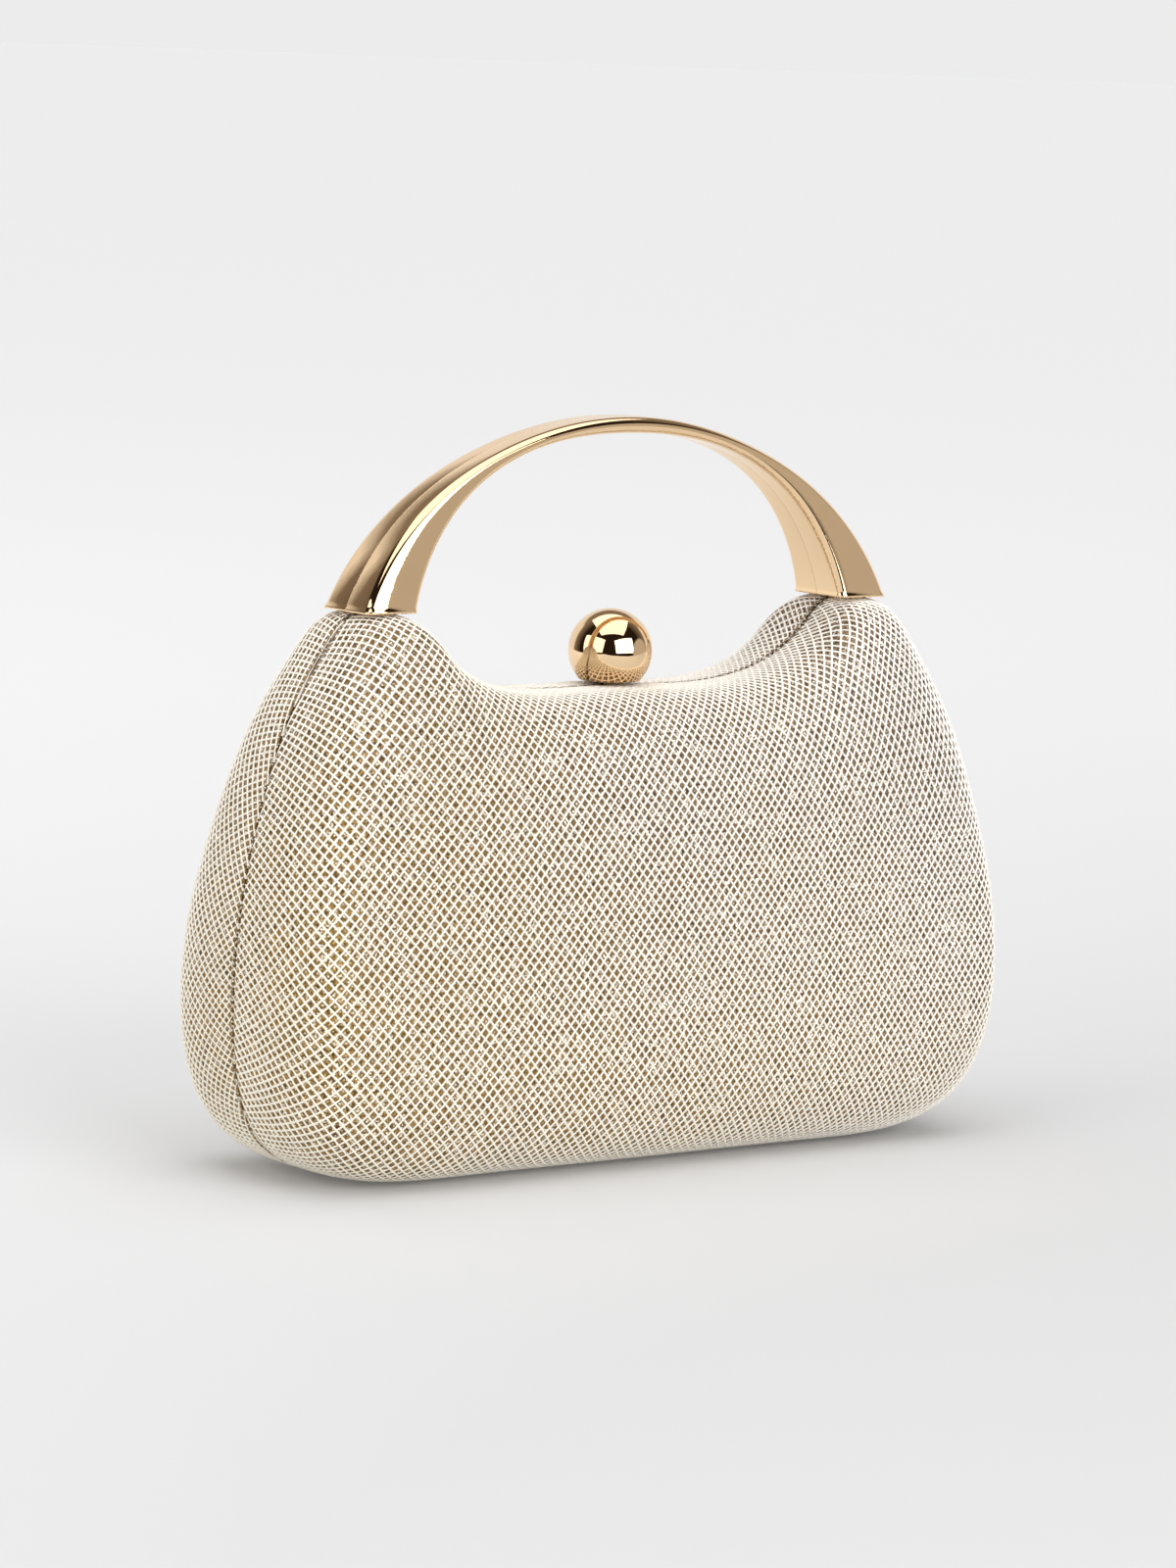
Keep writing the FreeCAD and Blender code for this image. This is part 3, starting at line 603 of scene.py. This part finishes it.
def fast_piece(name, points, faces):
    """An object at the origin from many small closed strips, in metres."""
    mesh = bpy.data.meshes.new(name)
    corners = np.where((faces[:, 3] == faces[:, 2])[:, None], [True, True, True, False], True)
    totals = corners.sum(1)
    mesh.vertices.add(len(points))
    mesh.vertices.foreach_set("co", (points * MM).ravel())
    mesh.loops.add(int(totals.sum()))
    mesh.loops.foreach_set("vertex_index", faces[corners])
    mesh.polygons.add(len(faces))
    mesh.polygons.foreach_set("loop_start", np.r_[0, np.cumsum(totals)[:-1]])
    mesh.polygons.foreach_set("use_smooth", np.ones(len(faces), bool))
    mesh.update(calc_edges=True)
    mesh.validate()
    thing = bpy.data.objects.new(name, mesh)
    bpy.context.scene.collection.objects.link(thing)
    return thing


def cord_finish():
    """Cream cord: warm to pinkish white over the bag, with a fine grain."""
    made, tree, shader = material(
        "net cord", Roughness=0.55, Sheen_Weight=0.25, Sheen_Roughness=0.4,
    )
    drift = use(tree, DRIFT, Patch=16.0)
    tint = blend_colours(tree, drift.outputs["Amount"], (0.99, 0.95, 0.90), (0.99, 0.93, 0.79))
    grain = use(tree, GRAIN, Size=1800.0)
    shade = node(
        tree, "ShaderNodeMapRange", [("Value", grain.outputs["Value"])],
        From_Min=0.3, From_Max=0.7, To_Min=0.86, To_Max=1.1,
    )
    scaled = node(
        tree, "ShaderNodeVectorMath", [(0, tint), ("Scale", shade.outputs[0])], operation="SCALE",
    )
    tree.links.new(scaled.outputs[0], shader.inputs["Base Color"])
    bump = node(tree, "ShaderNodeBump", [("Height", grain.outputs["Value"])], Strength=0.5)
    bump.inputs["Distance"].default_value = 0.0001
    tree.links.new(bump.outputs[0], shader.inputs["Normal"])
    return made


cord = cord_finish()
cord_sets = (("rising", CORD_ANGLE, 0.0), ("falling", -CORD_ANGLE, UPPER_CORDS_RAISED))
for label, angle, raised in cord_sets:
    points, faces = net_set(angle, raised)
    triangle = (faces[:, 3] == faces[:, 2])[:, None]
    mirrored = np.where(triangle, faces[:, [1, 0, 2, 2]], faces[:, ::-1])
    for half, sign, body in (("front", 1, "front_half"), ("back", -1, "back_half")):
        placed = stem_room(points, half) * (1, sign, 1)
        piece = fast_piece(f"{half}_net_{label}", placed, faces if sign == 1 else mirrored)
        dress(piece, cord)
        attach(piece, body)

# ---------------------------------------------------------------------------------------------
# Linings.
# A satin lining is glued inside each shell, taut over the walls, with soft ripples where it
# turns the corners.
# ---------------------------------------------------------------------------------------------
LINING_OUTER = 4.95
LINING_INNER = 5.75
LINING_CLOTH = 0.5
LINING_ROLL = 0.6
LINING_RISE = 0.2
RIPPLE_HEIGHT = 0.18
RIPPLES = 60
LINING_RAY_STEP = 4
LINING_ROWS = np.r_[0:STEPS - 8:12, STEPS - 8]


def satin_finish():
    """Champagne satin: soft sheen, fine cross threads and faint slubs."""
    made, tree, shader = material(
        "satin lining", Roughness=0.38, Sheen_Weight=0.6, Sheen_Roughness=0.3,
    )
    place = node(tree, "ShaderNodeTexCoord")
    threads = node(
        tree, "ShaderNodeTexWave", [("Vector", place.outputs["Object"])],
        Scale=1400.0, Distortion=1.5, bands_direction="DIAGONAL",
    )
    slubs = use(tree, GRAIN, Size=120.0)
    tint = blend_colours(tree, slubs.outputs["Value"], (0.50, 0.39, 0.25), (0.74, 0.63, 0.47))
    tree.links.new(tint, shader.inputs["Base Color"])
    bump = node(tree, "ShaderNodeBump", [("Height", threads.outputs["Fac"])], Strength=0.25)
    bump.inputs["Distance"].default_value = 0.00005
    tree.links.new(bump.outputs[0], shader.inputs["Normal"])
    return made


satin = satin_finish()
lining_table = half_form(LINING_OUTER, LINING_ROLL)
lining_normal = form_normals(lining_table)
ripple = RIPPLE_HEIGHT * np.sin(np.arange(RAYS) * (2 * math.pi / RAYS) * RIPPLES)[:, None, None]
swell = np.sin(np.linspace(0, 1, STEPS + 1) * math.pi)[None, :, None] ** 2
rippled = lining_table - lining_normal * (LINING_RISE + ripple) * swell
points, faces = shell_mesh(
    rippled, lining_normal, 0.0, LINING_CLOTH, LINING_RAY_STEP, LINING_ROWS
)
for piece, half, body in both_halves("satin_lining", points, faces):
    dress(piece, satin)
    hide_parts(f"{half}_lining")
    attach(piece, body)

# ---------------------------------------------------------------------------------------------
# Slip pocket.
# A flat patch of the lining's satin is sewn to the back half's lining on three sides. Its hemmed
# top edge bows open a little, and a row of stitches follows the three sewn sides.
# ---------------------------------------------------------------------------------------------
POCKET_HALF_WIDTH = 42.0
POCKET_LOW = 24.0
POCKET_HIGH = 74.0
POCKET_SEAM = 0.35
POCKET_SLACK = 2.2
POCKET_SLACK_POWER = 1.4
POCKET_CLOTH = 0.45
PUCKER_HEIGHT = 0.12
PUCKER_RATE = 21
HEM_HEIGHT = 6.0
HEM_EXTRA = 0.4
HEM_SHARPNESS = 60
SIDE_TAPER = 0.015
SEAM_IN = 0.965
SEAM_UP = 0.03
STITCH_PITCH = 2.6
STITCH_SIZE = (0.75, 0.2, 0.16)


def pocket_point(across, up, proud):
    """Point of the pocket: across from -1 to 1, up from 0 to 1, standing proud of its back.

    The wall behind it is the face's superellipse; the cloth bows out by the slack, growing up the
    pocket and fading as a parabola to the sewn sides.
    """
    z = POCKET_LOW + (POCKET_HIGH - POCKET_LOW) * up
    level = (1 - (np.abs(z - FACE_CENTRE_Z) / FACE_CENTRE_Z) ** FACE_POWER) ** (1 / FACE_POWER)
    wall = (DEPTH_BASE + (DEPTH_TOP - DEPTH_BASE) * z / DEPTH_TOP_Z - LINING_INNER) * level
    bow = POCKET_SEAM + POCKET_SLACK * up**POCKET_SLACK_POWER * (1 - across**2)
    bow = bow + PUCKER_HEIGHT * np.sin(across * PUCKER_RATE) * up * (1 - across**2)
    return np.stack([across * POCKET_HALF_WIDTH, wall - bow - proud, z], -1)


across, up = np.meshgrid(np.linspace(-1, 1, 85), np.linspace(0, 1, 51), indexing="ij")
inside_edge = np.clip((1 - np.abs(across)) / SIDE_TAPER, 0, 1)
hem = HEM_EXTRA * ramp((up - 1 + HEM_HEIGHT / (POCKET_HIGH - POCKET_LOW)) * HEM_SHARPNESS)
near_side = pocket_point(across, up, (POCKET_CLOTH + hem) * inside_edge)
far_side = pocket_point(across, up, 0.0 * across)
points = np.concatenate([near_side, far_side[:, ::-1]], 1)
pocket = piece_from("satin_pocket", points, grid_faces(*points.shape[:2], False, True))
dress(pocket, satin)

sides = np.arange(POCKET_LOW + 2, POCKET_HIGH - 1, STITCH_PITCH)
sides = (sides - POCKET_LOW) / (POCKET_HIGH - POCKET_LOW)
bottom = np.arange(1.5 - POCKET_HALF_WIDTH, POCKET_HALF_WIDTH - 1, STITCH_PITCH) / POCKET_HALF_WIDTH
seam = np.concatenate([
    np.stack([np.full(len(sides), edge), sides], -1) for edge in (-SEAM_IN, SEAM_IN)
] + [np.stack([bottom, np.full(len(bottom), SEAM_UP)], -1)])
upright = np.r_[np.ones(2 * len(sides), bool), np.zeros(len(bottom), bool)]
middle = pocket_point(seam[:, 0], seam[:, 1], np.full(len(seam), POCKET_CLOTH))
run = np.where(upright[:, None], (0, 0, 1), (1, 0, 0))
beside = np.where(upright[:, None], (1, 0, 0), (0, 0, 1))
through = np.broadcast_to((0.0, -STITCH_SIZE[2], 0.0), run.shape)
reach = [run * STITCH_SIZE[0], beside * STITCH_SIZE[1], through]
tips = np.stack([middle + sign * r for r in reach for sign in (1, -1)], 1)
corners = np.array([(a, b, c) for a in (0, 1) for b in (2, 3) for c in (4, 5)])
faces = (np.arange(len(seam))[:, None, None] * 6 + corners).reshape(-1, 3)
stitches = piece_from("pocket_stitches", tips, faces)
thread, tree, shader = material("sewing thread", Roughness=0.6)
grain = use(tree, GRAIN, Size=1500.0)
tree.links.new(
    blend_colours(tree, grain.outputs["Value"], (0.62, 0.52, 0.38), (0.84, 0.76, 0.62)),
    shader.inputs["Base Color"],
)
dress(stitches, thread)
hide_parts("slip_pocket")
for piece in (pocket, stitches):
    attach(piece, "back_half")

# ---------------------------------------------------------------------------------------------
# Polished metal.
# The handle, the frames and the ball are cast and plated in a pale rose gold, buffed to a
# mirror, with faint waves from the buffing wheel.
# ---------------------------------------------------------------------------------------------


def gold_finish(name, colour, rough, wave):
    """Plated gold: mirror with a slow wave in its surface and a trace of wiping marks."""
    made, tree, shader = material(name, Metallic=1.0)
    slow = use(tree, GRAIN, Size=60.0)
    marks = use(tree, GRAIN, Size=700.0)
    soft = node(
        tree, "ShaderNodeMapRange", [("Value", marks.outputs["Value"])],
        From_Min=0.3, From_Max=0.8, To_Min=rough * 0.7, To_Max=rough * 1.6,
    )
    darker = tuple(c * 0.94 for c in colour)
    lighter = tuple(min(1, c * 1.05) for c in colour)
    tint = blend_colours(tree, slow.outputs["Value"], darker, lighter)
    tree.links.new(tint, shader.inputs["Base Color"])
    tree.links.new(soft.outputs[0], shader.inputs["Roughness"])
    bump = node(tree, "ShaderNodeBump", [("Height", slow.outputs["Value"])], Strength=wave)
    bump.inputs["Distance"].default_value = 0.0004
    tree.links.new(bump.outputs[0], shader.inputs["Normal"])
    return made


mirror_gold = gold_finish("mirror gold", (0.96, 0.70, 0.43), 0.04, 0.15)
fitting_gold = gold_finish("gilt fitting", (0.86, 0.63, 0.36), 0.16, 0.3)

# ---------------------------------------------------------------------------------------------
# Split handle.
# Two cast arches lie face to face on the parting plane, one on each half of the bag. Each is
# broad at its feet and slim at its crest, with softened edges and a fine lip where it stands.
# ---------------------------------------------------------------------------------------------
FOOT_Z = 125.1
HANDLE_OUTER = np.array([
    (73.2, FOOT_Z), (66.0, 138.0), (54.5, 149.4), (35.5, 160.0), (17.5, 165.4), (0.0, 167.1)])
HANDLE_INNER = np.array([
    (59.8, FOOT_Z), (55.4, 136.5), (46.3, 148.6), (31.2, 158.2), (16.0, 162.3), (0.0, 163.4)])
HANDLE_DEPTH_FOOT = 8.8
HANDLE_DEPTH_CREST = 5.3
HANDLE_PARTING = 0.03
PARTING_ROUND = 0.07
EDGE_ROUND = 1.7
LIP_HEIGHT = 0.7
LIP_PROUD = 0.22
LIP_SHARPNESS = 3
FLARE_HEIGHT = 42.0
FLARE_POWER = 1.3
FRONT_CROWN = 0.35
FOOT_SLOPE = (0.75, 1.1)
ARCH_SAMPLES = 3000
ARCH_STEPS = 150
CORNER_STEPS = 9


def handle_arch():
    """Outer and inner edge of the arch from foot to foot, at matching places."""
    for points in (HANDLE_OUTER, HANDLE_INNER):
        lean = points[1] - points[0]
        start = lean / np.linalg.norm(lean) * FOOT_SLOPE
        half = even(clamped_spline(points, start, (-1, 0), ARCH_SAMPLES), ARCH_STEPS, False)
        yield np.vstack([half, half[-2::-1] * (-1, 1)])


def handle_half():
    """Front arch: a rounded rectangle carried along the arch.

    Across, the section runs from the inner to the outer edge, and in depth from the parting
    face to the front. Its four corners are quarter circles, and its front is slightly crowned.
    """
    outer, inner = handle_arch()
    lower = np.clip((FOOT_Z + FLARE_HEIGHT - outer[:, 1]) / FLARE_HEIGHT, 0, 1)
    depth = HANDLE_DEPTH_CREST + (HANDLE_DEPTH_FOOT - HANDLE_DEPTH_CREST) * lower**FLARE_POWER
    width = np.linalg.norm(outer - inner, axis=1)
    turn = np.linspace(0, math.pi / 2, CORNER_STEPS)
    section = []
    for across, deep, first in ((1, 1, 0), (0, 1, 1), (0, 0, 2), (1, 0, 3)):
        angle = turn + first * math.pi / 2
        corner = np.broadcast_to((across, deep), (CORNER_STEPS, 2))
        section.append(np.c_[corner, np.cos(angle), np.sin(angle)])
    section = np.vstack(section)
    round_ = np.where(section[:, 1] > 0, EDGE_ROUND, PARTING_ROUND)
    place = (section[:, 0] - 0.5) * (width[:, None] - 2 * round_) + section[:, 2] * round_
    deep = np.where(section[:, 1] > 0, depth[:, None] - round_, HANDLE_PARTING + round_)
    deep = deep + section[:, 3] * round_
    crown = FRONT_CROWN * (1 - (2 * place / width[:, None]) ** 2) * (section[:, 1] > 0)
    lip = np.clip(1 - (outer[:, 1] - FOOT_Z) / LIP_HEIGHT, 0, 1)[:, None]
    lip = LIP_PROUD * np.sqrt(np.clip(lip * LIP_SHARPNESS, 0, 1))
    place = place * (1 + 2 * lip / width[:, None])
    deep = deep + crown + lip * (section[:, 1] > 0)
    middle = (outer + inner) / 2
    lean = (outer - inner) / width[:, None]
    x = middle[:, :1] + lean[:, :1] * place
    z = middle[:, 1:] + lean[:, 1:] * place
    return np.stack([x, -deep, np.maximum(z, FOOT_Z)], -1)


arch = handle_half()
count, around = arch.shape[:2]
faces = grid_faces(count, around, False, True)
feet = [np.arange(around)[::-1].tolist(), ((count - 1) * around + np.arange(around)).tolist()]
listed = faces.tolist() + feet
for half, sign, body in (("front", 1, "front_half"), ("back", -1, "back_half")):
    mesh = bpy.data.meshes.new(f"{half}_handle_arch")
    mesh.from_pydata((arch * (1, sign, 1) * MM).reshape(-1, 3).tolist(), [], listed)
    work = bmesh.new()
    work.from_mesh(mesh)
    bmesh.ops.recalc_face_normals(work, faces=work.faces)
    work.to_mesh(mesh)
    work.free()
    mesh.polygons.foreach_set("use_smooth", [True] * (len(listed) - 2) + [False] * 2)
    piece = bpy.data.objects.new(f"{half}_handle_arch", mesh)
    bpy.context.scene.collection.objects.link(piece)
    dress(piece, mirror_gold)
    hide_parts(f"{half}_handle")
    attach(piece, body)

# ---------------------------------------------------------------------------------------------
# Ball.
# The clasp's knob is a hollow ball, spun and plated, with a flat ground on its underside where
# it stands just over the dip.
# ---------------------------------------------------------------------------------------------
BALL_R = 9.55
BALL_Z = 114.1
BALL_FLAT = 6.7
BALL_RINGS = 97
BALL_SIDES = 160

turn = np.linspace(math.pi / 2, -math.asin(BALL_FLAT / BALL_R), BALL_RINGS)
profile = np.stack([np.cos(turn) * BALL_R, np.sin(turn) * BALL_R + BALL_Z], -1)
profile[0, 0] = 0
flat_r = profile[-1, 0]
profile = np.vstack([
    profile[:-1], [(flat_r - 0.12, profile[-1, 1] + 0.02)], [(flat_r - 0.5, profile[-1, 1])],
    [(flat_r * 0.5, profile[-1, 1])], [(0, profile[-1, 1])]])
swing = np.linspace(0, 2 * math.pi, BALL_SIDES, endpoint=False)[:, None]
points = np.stack([
    profile[:, 0] * np.cos(swing), profile[:, 0] * np.sin(swing),
    np.broadcast_to(profile[:, 1], (BALL_SIDES, len(profile)))], -1)
ball = piece_from("clasp_ball", points, grid_faces(BALL_SIDES, len(profile), True, False))
dress(ball, mirror_gold)
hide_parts("ball_knob")
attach(ball, "latch")

# ---------------------------------------------------------------------------------------------
# Frames, hinge, clasp and fixings.
# These are pressed, turned and wound parts. They keep their shape and get their plating.
# ---------------------------------------------------------------------------------------------
shell_black, tree, shader = material("moulded shell", Roughness=0.5)
grain = use(tree, GRAIN, Size=2500.0)
tree.links.new(
    blend_colours(tree, grain.outputs["Value"], (0.03, 0.028, 0.026), (0.06, 0.056, 0.052)),
    shader.inputs["Base Color"],
)
spring_steel = gold_finish("spring steel", (0.62, 0.62, 0.63), 0.2, 0.2)
for name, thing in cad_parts.items():
    if name.endswith("_shell"):
        dress(thing, shell_black)
    elif name.endswith("_frame") or name == "ball_stem":
        dress(thing, mirror_gold)
    elif name == "latch_spring":
        dress(thing, spring_steel)
    else:
        dress(thing, fitting_gold)

# ---------------------------------------------------------------------------------------------
# Camera.
# A long lens to the left of the bag and a little above it.
# ---------------------------------------------------------------------------------------------
CAMERA_AT = (-0.8195, -1.0674, 0.2521)
CAMERA_YAW = math.radians(-37.35)
CAMERA_PITCH = math.radians(7.141)
CAMERA_ROLL = math.radians(2.08)
FOCAL_LENGTH = 137.63

scene = bpy.context.scene
lens = bpy.data.cameras.new("camera")
lens.sensor_fit = "VERTICAL"
lens.sensor_height = 36.0
lens.lens = FOCAL_LENGTH
lens.clip_start, lens.clip_end = 0.05, 50
camera = bpy.data.objects.new("camera", lens)
scene.collection.objects.link(camera)
ahead = np.array([
    -math.sin(CAMERA_YAW) * math.cos(CAMERA_PITCH),
    math.cos(CAMERA_YAW) * math.cos(CAMERA_PITCH), -math.sin(CAMERA_PITCH)])
right = np.array([math.cos(CAMERA_YAW), math.sin(CAMERA_YAW), 0])
top = np.cross(right, ahead)
right, top = (
    right * math.cos(CAMERA_ROLL) + top * math.sin(CAMERA_ROLL),
    top * math.cos(CAMERA_ROLL) - right * math.sin(CAMERA_ROLL),
)
placed = np.eye(4)
placed[:3, 0], placed[:3, 1], placed[:3, 2], placed[:3, 3] = right, top, -ahead, CAMERA_AT
camera.matrix_world = Matrix(placed.tolist())
scene.camera = camera

# ---------------------------------------------------------------------------------------------
# Floor.
# A pale floor runs on behind the bag and turns paler the further away it lies. The apron under
# it closes the view from behind, and only the camera sees it.
# ---------------------------------------------------------------------------------------------
FLOOR_SHADE = 0.62
FLOOR_FAR = 0.580
FLOOR_LIT = 1.2
FLOOR_FALL = 0.92
FLOOR_CENTRE = (0.2, -0.9, 0.0)
FLOOR_LOW = (-0.9, -0.65)
FLOOR_REACH = 400
APRON_Z = -0.0004


def level_plane(name, low, z):
    """Level rectangle from its low corner to the floor's far one."""
    mesh = bpy.data.meshes.new(name)
    along_x, along_y = (low[0], FLOOR_REACH), (low[1], FLOOR_REACH)
    corners = [(along_x[a], along_y[b], z) for a, b in ((0, 0), (1, 0), (1, 1), (0, 1))]
    mesh.from_pydata(corners, [], [(0, 1, 2, 3)])
    made = bpy.data.objects.new(name, mesh)
    scene.collection.objects.link(made)
    return made


floor = level_plane("floor", FLOOR_LOW, 0)
floor_finish, tree, shader = material("pale floor", Roughness=0.85)
shader.inputs["Base Color"].default_value = (FLOOR_SHADE, FLOOR_SHADE, FLOOR_SHADE, 1)
shader.inputs["Emission Color"].default_value = (1, 1, 1, 1)
place = node(tree, "ShaderNodeTexCoord")
away = node(tree, "ShaderNodeVectorMath", [(0, place.outputs["Object"])], operation="DISTANCE")
away.inputs[1].default_value = FLOOR_CENTRE
fall = node(tree, "ShaderNodeMath", [(0, away.outputs["Value"])], operation="MULTIPLY")
fall.inputs[1].default_value = -FLOOR_FALL
level = node(tree, "ShaderNodeMath", [(0, fall.outputs[0])], operation="EXPONENT")
lift = node(
    tree, "ShaderNodeMath", [(0, level.outputs[0])], operation="MULTIPLY_ADD", use_clamp=True)
lift.inputs[1].default_value = -FLOOR_LIT
lift.inputs[2].default_value = FLOOR_FAR
tree.links.new(lift.outputs[0], shader.inputs["Emission Strength"])
dress(floor, floor_finish)
apron = level_plane("apron", (-FLOOR_REACH, -FLOOR_REACH), APRON_Z)
apron.visible_diffuse = apron.visible_glossy = False
dress(apron, floor_finish)

# ---------------------------------------------------------------------------------------------
# Surroundings.
# The camera sees a pale grey, and cloth and floor get a dim even fill. Only polished metal sees
# the room: a dark drape that lightens straight ahead, a grey screen across, and paper behind.
# ---------------------------------------------------------------------------------------------
world = bpy.data.worlds.new("studio")
scene.world = world
world.use_nodes = True
tree = world.node_tree
sky = tree.nodes["Background"]
sky.inputs["Color"].default_value = (0.84, 0.84, 0.84, 1)
fill = node(tree, "ShaderNodeBackground", Color=(0.42, 0.42, 0.43, 1))
room = node(tree, "ShaderNodeBackground")
bearing = node(tree, "ShaderNodeTexCoord")
AHEAD = (0.607, 0.795, 0.0)
ACROSS = (0.795, -0.607, 0.0)


def towards(direction, low, high):
    """0 to 1 as the bearing turns towards a direction, between two cosines."""
    facing = [(0, bearing.outputs["Generated"])]
    share = node(tree, "ShaderNodeVectorMath", facing, operation="DOT_PRODUCT")
    share.inputs[1].default_value = direction
    value = [("Value", share.outputs["Value"])]
    return node(tree, "ShaderNodeMapRange", value, From_Min=low, From_Max=high).outputs[0]


drape = blend_colours(tree, towards(AHEAD, 0.0, 0.45), (0.018, 0.012, 0.009), (0.24, 0.20, 0.165))
screen = blend_colours(tree, towards(ACROSS, 0.90, 0.93), drape, (0.52, 0.49, 0.46))
behind = node(
    tree, "ShaderNodeMath", [(0, towards(AHEAD, 0.40, 0.50)), (1, towards((0, 0, 1), 0.60, 0.50))],
    operation="MULTIPLY",
)
paper = blend_colours(tree, behind.outputs[0], screen, (0.86, 0.85, 0.84))
tree.links.new(paper, room.inputs["Color"])
path = tree.nodes.new("ShaderNodeLightPath")
lit = tree.nodes.new("ShaderNodeMixShader")
seen = tree.nodes.new("ShaderNodeMixShader")
tree.links.new(path.outputs["Is Glossy Ray"], lit.inputs[0])
tree.links.new(fill.outputs[0], lit.inputs[1])
tree.links.new(room.outputs[0], lit.inputs[2])
tree.links.new(path.outputs["Is Camera Ray"], seen.inputs[0])
tree.links.new(lit.outputs[0], seen.inputs[1])
tree.links.new(sky.outputs[0], seen.inputs[2])
tree.links.new(seen.outputs[0], tree.nodes["World Output"].inputs["Surface"])


# ---------------------------------------------------------------------------------------------
# Lights.
# Three large soft boxes light the bag from above, from the right front and from the left.
# ---------------------------------------------------------------------------------------------
def soft_box(name, place, aim_at, size, power):
    """Rectangular studio light at a place, turned towards a point."""
    data = bpy.data.lights.new(name, "AREA")
    data.shape = "RECTANGLE"
    data.size, data.size_y = size
    data.energy = power
    lamp = bpy.data.objects.new(name, data)
    scene.collection.objects.link(lamp)
    away = Vector(place) - Vector(aim_at)
    lamp.rotation_euler = away.to_track_quat("Z", "Y").to_euler()
    lamp.location = place
    lamp.visible_camera = False


MIDDLE = (0.0, 0.0, 0.1)
soft_box("overhead box", (-0.06, -0.10, 1.80), MIDDLE, (2.2, 2.4), 26)
soft_box("right box", (0.12, -1.72, 0.62), MIDDLE, (1.7, 1.2), 21)
soft_box("left box", (-1.62, -0.10, 0.62), MIDDLE, (1.9, 1.2), 12)

scene.view_settings.view_transform = "Standard"
